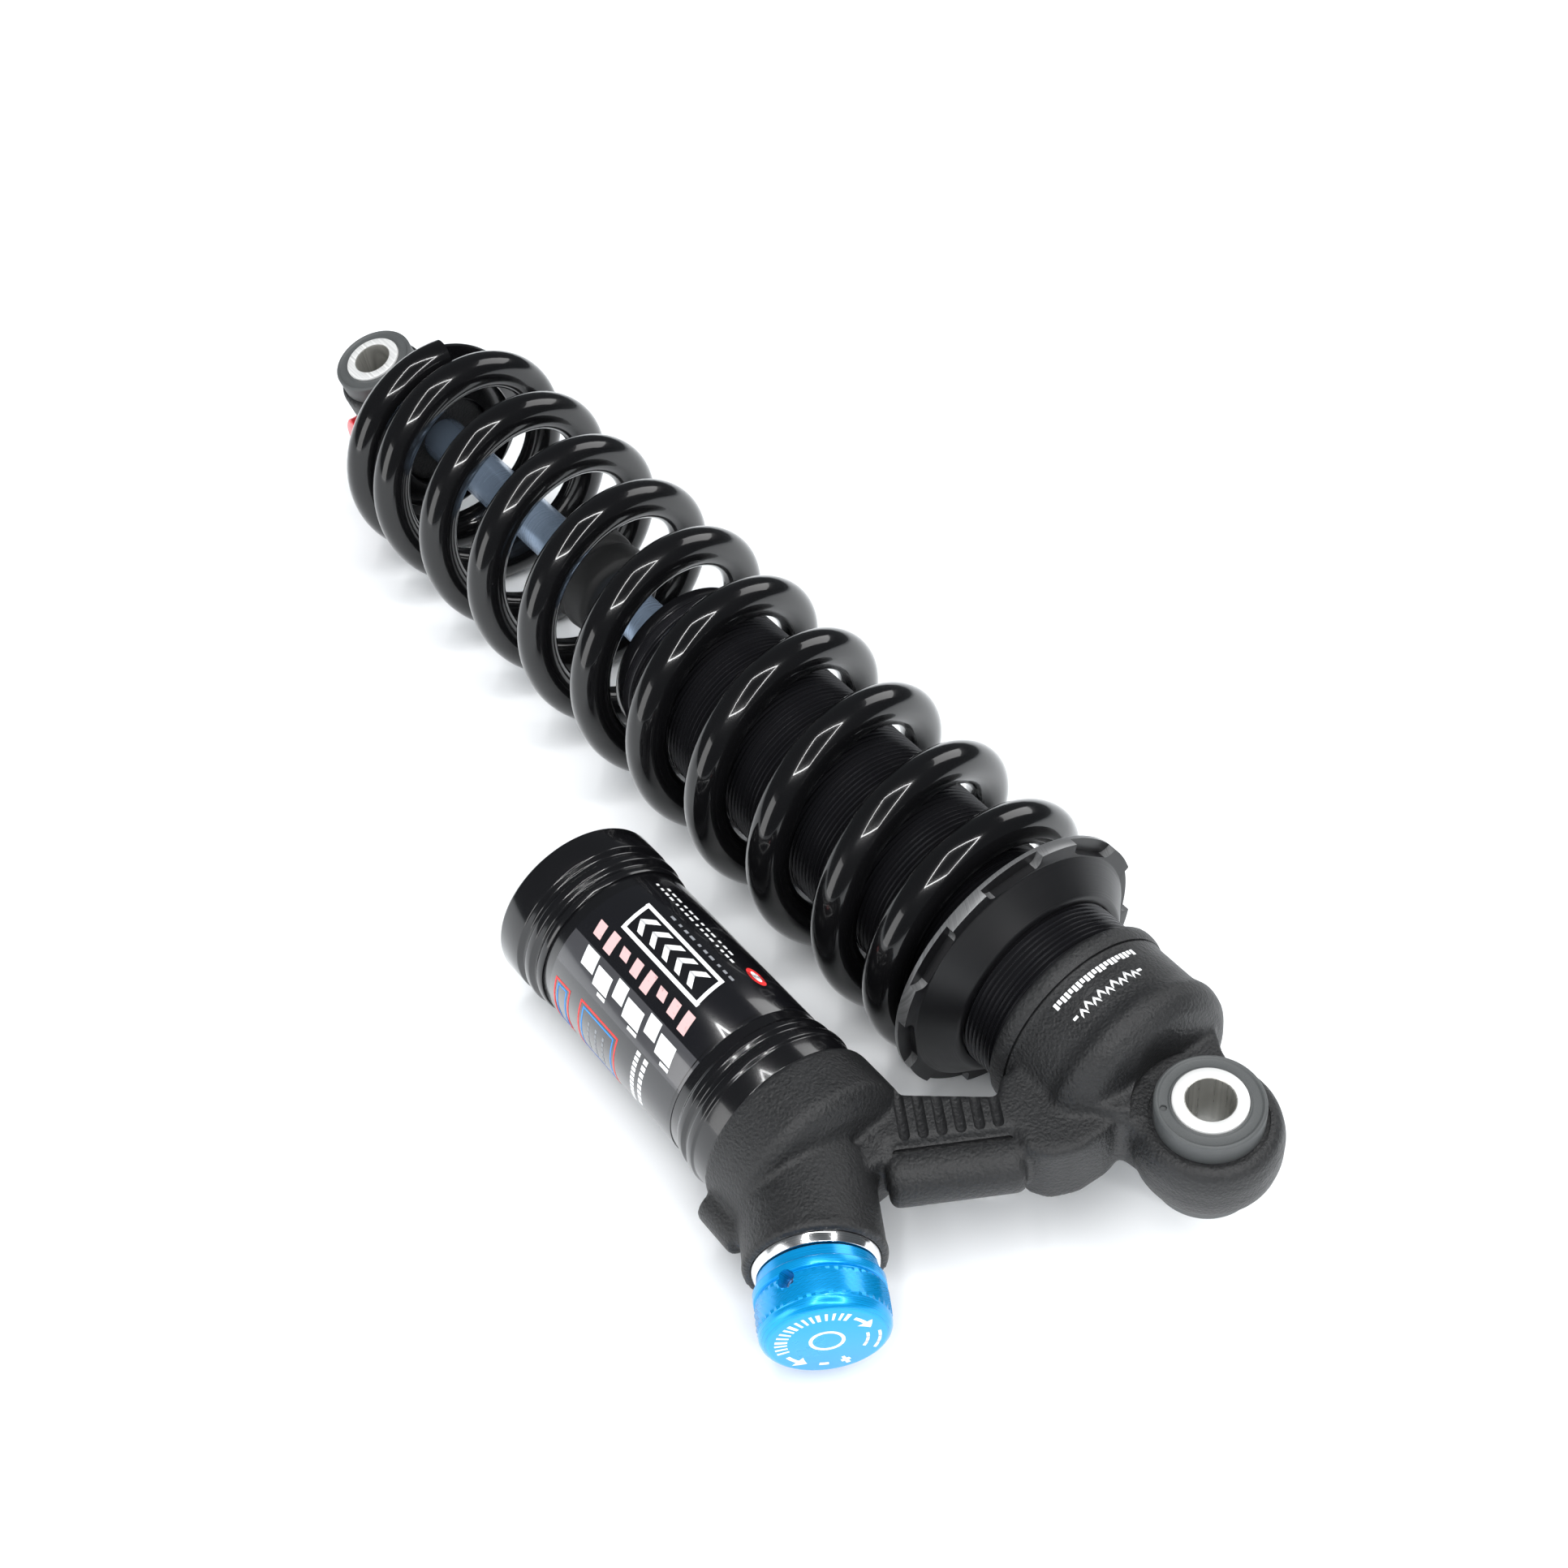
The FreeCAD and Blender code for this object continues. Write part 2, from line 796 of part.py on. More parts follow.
def coil_spring():
    """A swept spring fits neither a Body nor a primitive, because its pitch changes."""
    curve = coil_path()
    path = Part.Wire([curve.toShape()])
    section = Part.Wire(
        [Part.Circle(curve.value(0), curve.tangent(0)[0], D.wire_radius.value).toShape()]
    )
    pipe = Part.BRepOffsetAPI.MakePipeShell(path)
    pipe.setFrenetMode(True)
    pipe.add(section)
    pipe.build()
    pipe.makeSolid()
    spring = doc.addObject("Part::Feature", "coil_spring")
    spring.Label = "coil_spring"
    spring.Shape = pipe.shape()
    spring.Placement = Placement()
    return [spring]


# ---------------------------------------------------------------- build and write


def check_and_write(pieces):
    doc.recompute()
    failed = [o.Label for o in doc.Objects if "Invalid" in o.State or "Error" in o.State]
    if failed:
        raise RuntimeError(f"objects failed: {failed}")
    os.makedirs("parts", exist_ok=True)
    for piece in pieces:
        shape = piece.Shape
        if shape.isNull() or not shape.isValid() or not shape.Solids:
            raise RuntimeError(f"{piece.Label} has no valid solid")
        shape.exportStep(f"parts/{piece.Label}.step")
        print(f"{piece.Label}: {len(shape.Solids)} solid, {shape.Volume:.1f} mm3")


check_and_write(
    eye_hardware("body")
    + eye_hardware("shaft")
    + head_forging()
    + damper_body()
    + reservoir()
    + compression_adjuster()
    + shaft_assembly()
    + rebound_adjuster()
    + bump_stop()
    + preload()
    + coil_spring()
)
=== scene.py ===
import json
import math

import bmesh
import bpy
from mathutils import Matrix, Vector


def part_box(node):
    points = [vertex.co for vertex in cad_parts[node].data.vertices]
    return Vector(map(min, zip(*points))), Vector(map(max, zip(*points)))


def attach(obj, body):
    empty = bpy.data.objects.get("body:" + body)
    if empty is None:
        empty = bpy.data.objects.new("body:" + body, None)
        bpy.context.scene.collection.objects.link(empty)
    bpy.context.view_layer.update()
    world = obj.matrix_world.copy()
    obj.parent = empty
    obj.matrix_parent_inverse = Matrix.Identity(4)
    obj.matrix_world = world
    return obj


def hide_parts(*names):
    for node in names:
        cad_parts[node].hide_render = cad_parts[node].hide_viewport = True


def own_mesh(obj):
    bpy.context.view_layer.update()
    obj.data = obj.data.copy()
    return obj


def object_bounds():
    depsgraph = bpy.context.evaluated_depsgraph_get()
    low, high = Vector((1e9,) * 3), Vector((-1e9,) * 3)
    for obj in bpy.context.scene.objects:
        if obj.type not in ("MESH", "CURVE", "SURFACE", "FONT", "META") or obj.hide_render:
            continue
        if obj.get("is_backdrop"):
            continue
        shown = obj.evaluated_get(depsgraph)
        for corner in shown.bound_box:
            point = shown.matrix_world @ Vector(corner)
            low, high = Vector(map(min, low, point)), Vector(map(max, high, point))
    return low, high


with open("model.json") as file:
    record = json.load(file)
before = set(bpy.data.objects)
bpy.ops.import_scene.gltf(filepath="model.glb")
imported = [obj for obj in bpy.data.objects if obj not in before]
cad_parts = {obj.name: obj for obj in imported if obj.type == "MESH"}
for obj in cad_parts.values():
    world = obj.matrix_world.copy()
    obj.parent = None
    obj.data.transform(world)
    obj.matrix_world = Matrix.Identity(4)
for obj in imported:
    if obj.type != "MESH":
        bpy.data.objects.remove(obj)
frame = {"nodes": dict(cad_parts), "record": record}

bl_info = {
    "name": "Rear Shock",
    "version": (1, 0, 0),
    "blender": (4, 5, 0),
    "location": "View3D > Sidebar > Rear Shock",
    "description": "Builds a coil-over rear shock with a piggyback reservoir around its CAD frame",
    "category": "Add Mesh",
}

MM = 0.001


def box_mm(name):
    """The two corners of a CAD node's box, in millimetres."""
    return [Vector(corner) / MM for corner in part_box(name)]


CAD_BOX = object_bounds()
MOUNTS = {m["name"]: m for m in frame["record"]["mounts"]}
JOINTS = {j["name"]: j for j in frame["record"]["behaviour"]["joints"]}
ROOT = "damper_body"
SHAFT = "shaft_assembly"

# The damper's axis is the X axis; the reservoir's axis runs beside it.
AXIS_X = Vector((1, 0, 0))
BODY_EYE = Vector(MOUNTS["body_eye"]["pos_m"])
SHAFT_EYE = Vector(MOUNTS["shaft_eye"]["pos_m"])
EYE_BORES = {
    "body": (BODY_EYE, Vector(MOUNTS["body_eye"]["axis"]), ROOT),
    "shaft": (SHAFT_EYE, Vector(MOUNTS["shaft_eye"]["axis"]), SHAFT),
}
SLEEVE_BODIES = {"body": "body_sleeve", "shaft": "shaft_sleeve"}
TUBE_LOW, TUBE_HIGH = box_mm("reservoir_tube")
RESERVOIR_Y = (TUBE_LOW.y + TUBE_HIGH.y) / 2
RESERVOIR_RADIUS = (TUBE_HIGH.y - TUBE_LOW.y) / 2
RESERVOIR = Vector((0, RESERVOIR_Y * MM, 0))
MOUTH = Vector(JOINTS["compression_click"]["pos_m"])
ADJUSTER = Vector(JOINTS["compression_click"]["axis"])
REBOUND = Vector(JOINTS["rebound_click"]["pos_m"])
SPRING_LOW, SPRING_HIGH = box_mm("coil_spring")
RING_LOW, RING_HIGH = box_mm("preload_ring")
DAMPER_LOW, DAMPER_HIGH = box_mm("damper_tube")

THREAD_DEPTH = 0.58
BUSH_RADIUS = 7.62
RIB_RADIUS, RIB_SPACING, RIDGE_GROOVE = 0.95, 3.1, 0.75
SET_SCREW_TURN = 28
KNURL_ROWS, KNURL_PEAK, KNURL_DIP = 7, 0.28, -0.14


# ------------------------------------------------------------------ settings


class ShockSizes(bpy.types.PropertyGroup):
    """Sizes of the visible pieces, where the CAD frame doesn't already fix them."""

    wire_radius: bpy.props.FloatProperty(
        name="Wire radius", description="Radius of the spring's wire", default=4 * MM, unit="LENGTH"
    )
    coils: bpy.props.IntProperty(
        name="Active coils", description="Full-pitch turns of the spring", default=9, min=3, max=16
    )
    closed_pitch: bpy.props.FloatProperty(
        name="Closed pitch", description="Pitch of the end turns", default=7.1 * MM, unit="LENGTH"
    )
    thread_pitch: bpy.props.FloatProperty(
        name="Thread pitch", description="Pitch of the preload thread", default=1.0 * MM, unit="LENGTH"
    )
    notches: bpy.props.IntProperty(
        name="Notches", description="Spanner notches round the preload ring", default=8, min=4, max=16
    )
    ribs: bpy.props.IntProperty(
        name="Ribs", description="Grooves across the bridge", default=6, min=0, max=10
    )
    knurls: bpy.props.IntProperty(
        name="Knurls", description="Diamonds round the compression knob", default=48, min=20, max=90
    )


def colour(name, description, value):
    return bpy.props.FloatVectorProperty(
        name=name, description=description, default=value, subtype="COLOR", size=4, min=0, max=1
    )


class ShockColours(bpy.types.PropertyGroup):
    """Colours of the finishes."""

    forging: colour("Forging", "Blasted black finish of the forgings", (0.0125, 0.0128, 0.0135, 1))
    enamel: colour("Enamel", "Gloss enamel of the spring", (0.004, 0.004, 0.0045, 1))
    anodised: colour("Black anodised", "Turned black parts", (0.006, 0.006, 0.007, 1))
    adjuster: colour("Compression knob", "Blue anodising", (0.0, 0.33, 0.76, 1))
    rebound: colour("Rebound knob", "Red anodising", (0.72, 0.012, 0.02, 1))
    polymer: colour("Bushes", "Grey bearing polymer", (0.068, 0.072, 0.073, 1))
    floor: colour("Floor", "Pale studio floor", (0.93, 0.945, 0.96, 1))


def sizes():
    return bpy.context.scene.shock_sizes


def colours():
    return bpy.context.scene.shock_colours


# ------------------------------------------------------------------ modelling helpers


def facing(centre, direction):
    """Takes the X axis to direction and the origin to centre."""
    turn = AXIS_X.rotation_difference(Vector(direction).normalized())
    return Matrix.Translation(centre) @ turn.to_matrix().to_4x4()


def piece_from(bm, name, materials, sharp=32):
    """Makes an object of a bmesh, smooth but for edges sharper than the angle."""
    bmesh.ops.remove_doubles(bm, verts=bm.verts, dist=1e-7)
    bmesh.ops.recalc_face_normals(bm, faces=bm.faces)
    mesh = bpy.data.meshes.new(name)
    bm.to_mesh(mesh)
    bm.free()
    return finished(mesh, name, materials, sharp)


def finished(mesh, name, materials, sharp=32):
    for material in materials:
        mesh.materials.append(material)
    mesh.polygons.foreach_set("use_smooth", [True] * len(mesh.polygons))
    mesh.set_sharp_from_angle(angle=math.radians(sharp))
    piece = bpy.data.objects.new(name, mesh)
    bpy.context.scene.collection.objects.link(piece)
    return piece


def settle(piece, body, *nodes):
    """Puts a piece on its CAD body in place of the CAD nodes that it stands for."""
    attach(piece, body)
    if nodes:
        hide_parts(*nodes)
    return piece


def section(bm, profile, soften):
    """A closed outline of (x, radius) corners in millimetres, with rounded corners."""
    verts = [bm.verts.new((x * MM, 0, r * MM)) for x, r in profile]
    for a, b in zip(verts, verts[1:] + verts[:1]):
        bm.edges.new((a, b))
    rounded = [v for v in verts if v.co.z > 1e-6]
    if soften:
        bmesh.ops.bevel(
            bm, geom=rounded, offset=soften * MM, offset_type="OFFSET", segments=2,
            profile=0.5, affect="VERTICES", clamp_overlap=True, material=-1,
        )
    return bm.verts[:] + bm.edges[:]


def lathe_mesh(profile, centre, direction, steps=96, soften=0.15):
    bm = bmesh.new()
    outline = section(bm, profile, soften)
    bmesh.ops.spin(
        bm, geom=outline, cent=(0, 0, 0), axis=(1, 0, 0), angle=math.tau, steps=steps, use_merge=True
    )
    bmesh.ops.remove_doubles(bm, verts=bm.verts, dist=1e-6)
    bmesh.ops.transform(bm, matrix=facing(centre, direction), verts=bm.verts)
    bmesh.ops.recalc_face_normals(bm, faces=bm.faces)
    return bm


def lathe(name, profile, finish, centre=Vector(), direction=AXIS_X, steps=96, soften=0.15):
    """A turned piece from its closed half section."""
    return piece_from(lathe_mesh(profile, centre, direction, steps, soften), name, [finish_named(finish)])


def hoop(start, end, inner, outer):
    return [(start, inner), (end, inner), (end, outer), (start, outer)]


def cylinder_mesh(start, end, radius, steps=64, edge=0.0):
    """A closed cylinder between two points in millimetres."""
    start, end = Vector(start), Vector(end)
    profile = [(0, 0), ((end - start).length, 0), ((end - start).length, radius), (0, radius)]
    return lathe_mesh(profile, start * MM, end - start, steps, edge)


def slab_mesh(corners, low, high, edge=0.0):
    """An outline in the XY plane, extruded between two heights, with softened edges."""
    bm = bmesh.new()
    face = bm.faces.new([bm.verts.new((x * MM, y * MM, low * MM)) for x, y in corners])
    raised = bmesh.ops.extrude_face_region(bm, geom=[face])["geom"]
    lift = Vector((0, 0, (high - low) * MM))
    bmesh.ops.translate(bm, vec=lift, verts=[v for v in raised if isinstance(v, bmesh.types.BMVert)])
    if edge:
        bmesh.ops.bevel(
            bm, geom=bm.edges[:], offset=edge * MM, offset_type="OFFSET", segments=4,
            profile=0.5, affect="EDGES", clamp_overlap=True, material=-1,
        )
    bmesh.ops.recalc_face_normals(bm, faces=bm.faces)
    return bm


def hull_mesh(points):
    """The convex hull of points in millimetres."""
    bm = bmesh.new()
    for point in points:
        bm.verts.new(Vector(point) * MM)
    made = bmesh.ops.convex_hull(bm, input=bm.verts)
    spare = [v for v in made["geom_interior"] + made["geom_unused"] if isinstance(v, bmesh.types.BMVert)]
    bmesh.ops.delete(bm, geom=list(set(spare)), context="VERTS")
    bmesh.ops.recalc_face_normals(bm, faces=bm.faces)
    return bm


def disc_points(centre, normal, radius, count=32):
    """Points round a circle, for hulls."""
    turn = Vector((0, 0, 1)).rotation_difference(Vector(normal).normalized())
    for i in range(count):
        a = math.tau * i / count
        yield Vector(centre) + turn @ Vector((math.cos(a), math.sin(a), 0)) * radius


def temporary(bm, name, materials=()):
    mesh = bpy.data.meshes.new(name)
    bm.to_mesh(mesh)
    bm.free()
    for material in materials:
        mesh.materials.append(material)
    obj = bpy.data.objects.new(name, mesh)
    bpy.context.scene.collection.objects.link(obj)
    return obj


def applied(obj):
    """Applies the object's modifiers and returns its new mesh."""
    shape = obj.evaluated_get(bpy.context.evaluated_depsgraph_get())
    mesh = bpy.data.meshes.new_from_object(shape)
    obj.modifiers.clear()
    obj.data = mesh
    return mesh


def together(volumes):
    """One bmesh that holds several closed volumes."""
    bm = bmesh.new()
    for volume in volumes:
        part = bpy.data.meshes.new("volume")
        volume.to_mesh(part)
        volume.free()
        bm.from_mesh(part)
        bpy.data.meshes.remove(part)
    return bm


def cast(name, volumes, voxel, smoothing):
    """Melts closed volumes into one body with filleted joints, like a forging."""
    obj = temporary(together(volumes), name)
    remesh = obj.modifiers.new("Remesh", "REMESH")
    remesh.mode = "VOXEL"
    remesh.voxel_size = voxel * MM
    smooth = obj.modifiers.new("Smooth", "SMOOTH")
    smooth.factor = 0.5
    smooth.iterations = smoothing
    applied(obj)
    return obj


def carve(obj, cutters, materials=()):
    """Cuts closed volumes that don't meet each other out of an object, with their materials on the cuts."""
    tool = temporary(together(cutters), "cutter", materials)
    cut = obj.modifiers.new("Cut", "BOOLEAN")
    cut.operation = "DIFFERENCE"
    cut.solver = "EXACT"
    cut.material_mode = "TRANSFER"
    cut.object = tool
    before = len(obj.data.polygons)
    applied(obj)
    bpy.data.objects.remove(tool)
    if len(obj.data.polygons) < before / 2:
        raise RuntimeError(f"the cut left {len(obj.data.polygons)} of {before} faces on {obj.name}")
    return obj


def dressed(blank, name, finishes, sharp):
    """Turns a carved blank into a piece with the named finishes."""
    mesh = blank.data
    bpy.data.objects.remove(blank)
    mesh.materials.clear()
    return finished(mesh, name, [finish_named(finish) for finish in finishes], sharp)


def printed(name, groups, roll, body):
    """Raised print: groups of (finish, strokes) drawn flat, then put on a surface by roll(x, y, height)."""
    bm = bmesh.new()
    for index, (_, strokes) in enumerate(groups):
        for corners in strokes:
            face = bm.faces.new([bm.verts.new((x, y, 0.0)) for x, y in corners])
            face.material_index = index
    bmesh.ops.subdivide_edges(bm, edges=bm.edges[:], cuts=2, use_grid_fill=True)
    for limit in (8.0, 4.0):
        long_edges = [e for e in bm.edges if e.calc_length() > limit]
        bmesh.ops.subdivide_edges(bm, edges=long_edges, cuts=1, use_grid_fill=True)
    made = bmesh.ops.extrude_face_region(bm, geom=bm.faces[:], use_keep_orig=True)["geom"]
    for v in made:
        if isinstance(v, bmesh.types.BMVert):
            v.co.z = 1.0
    for v in bm.verts:
        v.co = roll(*v.co)
    return settle(piece_from(bm, name, [finish_named(finish) for finish, _ in groups]), body)


def round_cylinder(centre, radius, low=0.0, high=0.03):
    """Rolls (x, degrees) round a cylinder along X, from low to high above its surface."""
    def roll(x, degrees, height):
        reach = radius + low + (high - low) * height
        angle = math.radians(degrees)
        return Vector((x, math.cos(angle) * reach, math.sin(angle) * reach)) * MM + Vector(centre)
    return roll


def onto_face(centre, direction, level, thickness=0.03):
    """Rolls (degrees, radius) onto a flat round face across direction."""
    place = facing(centre, direction)

    def roll(degrees, radius, height):
        angle = math.radians(degrees)
        flat = (level + thickness * height, math.cos(angle) * radius, math.sin(angle) * radius)
        return place @ (Vector(flat) * MM)
    return roll


def bar(x, y, length, width, slant=0.0):
    """A slanted dash, as the corners of a parallelogram."""
    return [(x, y), (x + width, y), (x + width + slant, y + length), (x + slant, y + length)]


def chevron(x, y, reach, length, width):
    """An arrowhead that points along x, as two parallelograms."""
    middle = y + length / 2
    return [
        [(x, y), (x + width, y), (x + width + reach, middle), (x + reach, middle)],
        [(x + reach, middle), (x + width + reach, middle), (x + width, y + length), (x, y + length)],
    ]


def frame_strokes(x0, y0, x1, y1, across, along, slant=0.0):
    """A slanted rectangle's outline, across wide in x and along wide in y."""
    return [
        bar(x0, y0, along, x1 - x0, 0),
        bar(x0 + slant, y1 - along, along, x1 - x0, 0),
        bar(x0, y0, y1 - y0, across, slant),
        bar(x1 - across, y0, y1 - y0, across, slant),
    ]


def oval(x, y, rx, ry, count=20):
    rim = [
        (x + rx * math.cos(math.tau * i / count), y + ry * math.sin(math.tau * i / count))
        for i in range(count)
    ]
    return [[(x, y), a, b] for a, b in zip(rim, rim[1:] + rim[:1])]


# ------------------------------------------------------------------ shader groups


def group(name, inputs, outputs):
    """An empty shader node group with named sockets, and its two ends."""
    tree = bpy.data.node_groups.new(name, "ShaderNodeTree")
    for label, kind, default in inputs:
        socket = tree.interface.new_socket(label, in_out="INPUT", socket_type=kind)
        if default is not None:
            socket.default_value = default
    for label, kind in outputs:
        tree.interface.new_socket(label, in_out="OUTPUT", socket_type=kind)
    return tree, tree.nodes.new("NodeGroupInput"), tree.nodes.new("NodeGroupOutput")


def node(tree, kind, values=(), **settings):
    made = tree.nodes.new(f"ShaderNode{kind}")
    for key, value in settings.items():
        setattr(made, key, value)
    for key, value in dict(values).items():
        made.inputs[key].default_value = value
    return made


def sums(tree, operation, first, second=None, clamp=False):
    """A Math node whose inputs are sockets or numbers; returns its output."""
    made = node(tree, "Math", operation=operation, use_clamp=clamp)
    for index, value in enumerate((first, second)):
        if isinstance(value, bpy.types.NodeSocket):
            tree.links.new(value, made.inputs[index])
        elif value is not None:
            made.inputs[index].default_value = value
    return made.outputs[0]


def noise(tree, vector, scale, detail=4.0, roughness=0.5):
    made = node(tree, "TexNoise", {"Detail": detail, "Roughness": roughness})
    tree.links.new(vector, made.inputs["Vector"])
    if isinstance(scale, bpy.types.NodeSocket):
        tree.links.new(scale, made.inputs["Scale"])
    else:
        made.inputs["Scale"].default_value = scale
    return made.outputs["Fac"]


def ramp(tree, value, low, high, out_low=0.0, out_high=1.0):
    made = node(tree, "MapRange", {"From Min": low, "From Max": high, "To Min": out_low, "To Max": out_high})
    tree.links.new(value, made.inputs["Value"])
    return made.outputs["Result"]


FLOAT, VECTOR = "NodeSocketFloat", "NodeSocketVector"


def blasted_group():
    """Fine pebbled grain of a bead-blasted, painted casting."""
    tree, start, end = group(
        "Blasted Grain",
        [("Vector", VECTOR, None), ("Grain Size", FLOAT, 0.25), ("Unevenness", FLOAT, 0.5)],
        [("Height", FLOAT), ("Tone", FLOAT)],
    )
    per_metre = sums(tree, "DIVIDE", 1000.0, start.outputs["Grain Size"])
    fine = noise(tree, start.outputs["Vector"], per_metre, 3.0, 0.65)
    wide = noise(tree, start.outputs["Vector"], 160.0, 3.0)
    pebble = node(tree, "TexVoronoi", feature="SMOOTH_F1")
    pebble.inputs["Smoothness"].default_value = 0.6
    tree.links.new(start.outputs["Vector"], pebble.inputs["Vector"])
    tree.links.new(sums(tree, "MULTIPLY", per_metre, 0.8), pebble.inputs["Scale"])
    height = sums(tree, "SUBTRACT", fine, sums(tree, "MULTIPLY", pebble.outputs["Distance"], 0.6))
    tree.links.new(height, end.inputs["Height"])
    uneven = sums(tree, "MULTIPLY", sums(tree, "SUBTRACT", wide, 0.5), start.outputs["Unevenness"])
    tree.links.new(sums(tree, "ADD", uneven, ramp(tree, fine, 0.35, 0.7, 0.3, 0.7)), end.inputs["Tone"])
    return tree


def handling_group():
    """Faint smears, dust specks and a fine bump noise from handling."""
    tree, start, end = group(
        "Handling Marks",
        [("Vector", VECTOR, None), ("Smears", FLOAT, 0.1), ("Specks", FLOAT, 0.3)],
        [("Roughness Change", FLOAT), ("Speck Mask", FLOAT), ("Height", FLOAT)],
    )
    smear = noise(tree, start.outputs["Vector"], 45.0, 5.0, 0.6)
    change = sums(tree, "MULTIPLY", ramp(tree, smear, 0.4, 0.75), start.outputs["Smears"])
    tree.links.new(change, end.inputs["Roughness Change"])
    dust = node(tree, "TexVoronoi", {"Scale": 420.0, "Randomness": 1.0}, feature="F1")
    tree.links.new(start.outputs["Vector"], dust.inputs["Vector"])
    dots = ramp(tree, dust.outputs["Distance"], 0.06, 0.03)
    rare = ramp(tree, noise(tree, start.outputs["Vector"], 300.0, 1.0), 0.62, 0.68)
    mask = sums(tree, "MULTIPLY", sums(tree, "MULTIPLY", dots, rare), start.outputs["Specks"], clamp=True)
    tree.links.new(mask, end.inputs["Speck Mask"])
    tree.links.new(noise(tree, start.outputs["Vector"], 900.0, 2.0), end.inputs["Height"])
    return tree


def turning_group():
    """Fine tool lines round a turned piece, which vary only along its axis."""
    tree, start, end = group(
        "Turning Lines",
        [("Vector", VECTOR, None), ("Axis", VECTOR, (1.0, 0.0, 0.0)), ("Lines per mm", FLOAT, 8.0)],
        [("Height", FLOAT), ("Tone", FLOAT)],
    )
    dot = node(tree, "VectorMath", operation="DOT_PRODUCT")
    tree.links.new(start.outputs["Vector"], dot.inputs[0])
    tree.links.new(start.outputs["Axis"], dot.inputs[1])
    per_metre = sums(tree, "DIVIDE", start.outputs["Lines per mm"], MM)
    scaled = sums(tree, "MULTIPLY", dot.outputs["Value"], per_metre)
    line = node(tree, "TexNoise", {"Scale": 1.0, "Detail": 3.0}, noise_dimensions="1D")
    tree.links.new(scaled, line.inputs["W"])
    tree.links.new(line.outputs["Fac"], end.inputs["Height"])
    tree.links.new(ramp(tree, line.outputs["Fac"], 0.3, 0.7), end.inputs["Tone"])
    return tree


GROUPS = {}


def shared(name):
    """The shader group of that name, built the first time it is asked for."""
    makers = {"blasted": blasted_group, "handling": handling_group, "turning": turning_group}
    if name not in GROUPS:
        GROUPS[name] = makers[name]()
    return GROUPS[name]


# ------------------------------------------------------------------ materials


class Finish:
    """A material under construction: its tree, its Principled shader and its object coordinates."""

    def __init__(self, name, base, roughness, **shader_values):
        self.material = bpy.data.materials.new(name)
        self.material.use_nodes = True
        self.tree = self.material.node_tree
        self.shader = self.tree.nodes["Principled BSDF"]
        self.shader.inputs["Base Color"].default_value = base
        self.shader.inputs["Roughness"].default_value = roughness
        for label, value in shader_values.items():
            self.shader.inputs[label.replace("_", " ")].default_value = value
        self.place = node(self.tree, "TexCoord").outputs["Object"]

    def add(self, name, **values):
        made = self.tree.nodes.new("ShaderNodeGroup")
        made.node_tree = shared(name)
        self.tree.links.new(self.place, made.inputs["Vector"])
        for label, value in values.items():
            made.inputs[label.replace("_", " ")].default_value = value
        return made.outputs

    def mix(self, factor, first, second):
        made = node(self.tree, "Mix", data_type="RGBA")
        self.tree.links.new(factor, made.inputs[0])
        for index, value in ((6, first), (7, second)):
            if isinstance(value, bpy.types.NodeSocket):
                self.tree.links.new(value, made.inputs[index])
            else:
                made.inputs[index].default_value = value
        return made.outputs[2]

    def colour_from(self, socket):
        self.tree.links.new(socket, self.shader.inputs["Base Color"])

    def roughness_from(self, socket):
        self.tree.links.new(socket, self.shader.inputs["Roughness"])

    def bump(self, height, distance, strength=1.0):
        made = node(self.tree, "Bump", {"Strength": strength, "Distance": distance * MM})
        self.tree.links.new(height, made.inputs["Height"])
        last = self.shader.inputs["Normal"].links
        if last:
            self.tree.links.new(last[0].from_socket, made.inputs["Normal"])
        self.tree.links.new(made.outputs["Normal"], self.shader.inputs["Normal"])


def shade(base, factor):
    return [min(1.0, c * factor) for c in base[:3]] + [1.0]


def forged_finish():
    """Blasted black: grain in the bump, the colour and the sheen."""
    base = list(colours().forging)
    finish = Finish("forged_black", base, 0.42, Specular_IOR_Level=0.45)
    grain = finish.add("blasted", Grain_Size=0.5, Unevenness=0.6)
    marks = finish.add("handling", Smears=0.1, Specks=0.25)
    toned = finish.mix(grain["Tone"], shade(base, 0.45), shade(base, 1.8))
    finish.colour_from(finish.mix(marks["Speck Mask"], toned, (0.25, 0.25, 0.25, 1)))
    sheen = ramp(finish.tree, grain["Tone"], 0, 1, 0.36, 0.5)
    finish.roughness_from(sums(finish.tree, "ADD", sheen, marks["Roughness Change"]))
    finish.bump(grain["Height"], 0.17, 1.0)
    return finish.material


def enamel_finish():
    """Deep gloss enamel with the faint orange peel of a dipped coat."""
    base = list(colours().enamel)
    gloss = {"Specular_IOR_Level": 0.22, "Coat_Weight": 0.6, "Coat_Roughness": 0.03}
    finish = Finish("spring_enamel", base, 0.16, **gloss)
    marks = finish.add("handling", Smears=0.12, Specks=0.2)
    finish.colour_from(finish.mix(marks["Speck Mask"], base, (0.12, 0.12, 0.12, 1)))
    finish.roughness_from(sums(finish.tree, "ADD", marks["Roughness Change"], 0.14))
    finish.bump(noise(finish.tree, finish.place, 260.0, 2.0), 0.03, 0.35)
    return finish.material


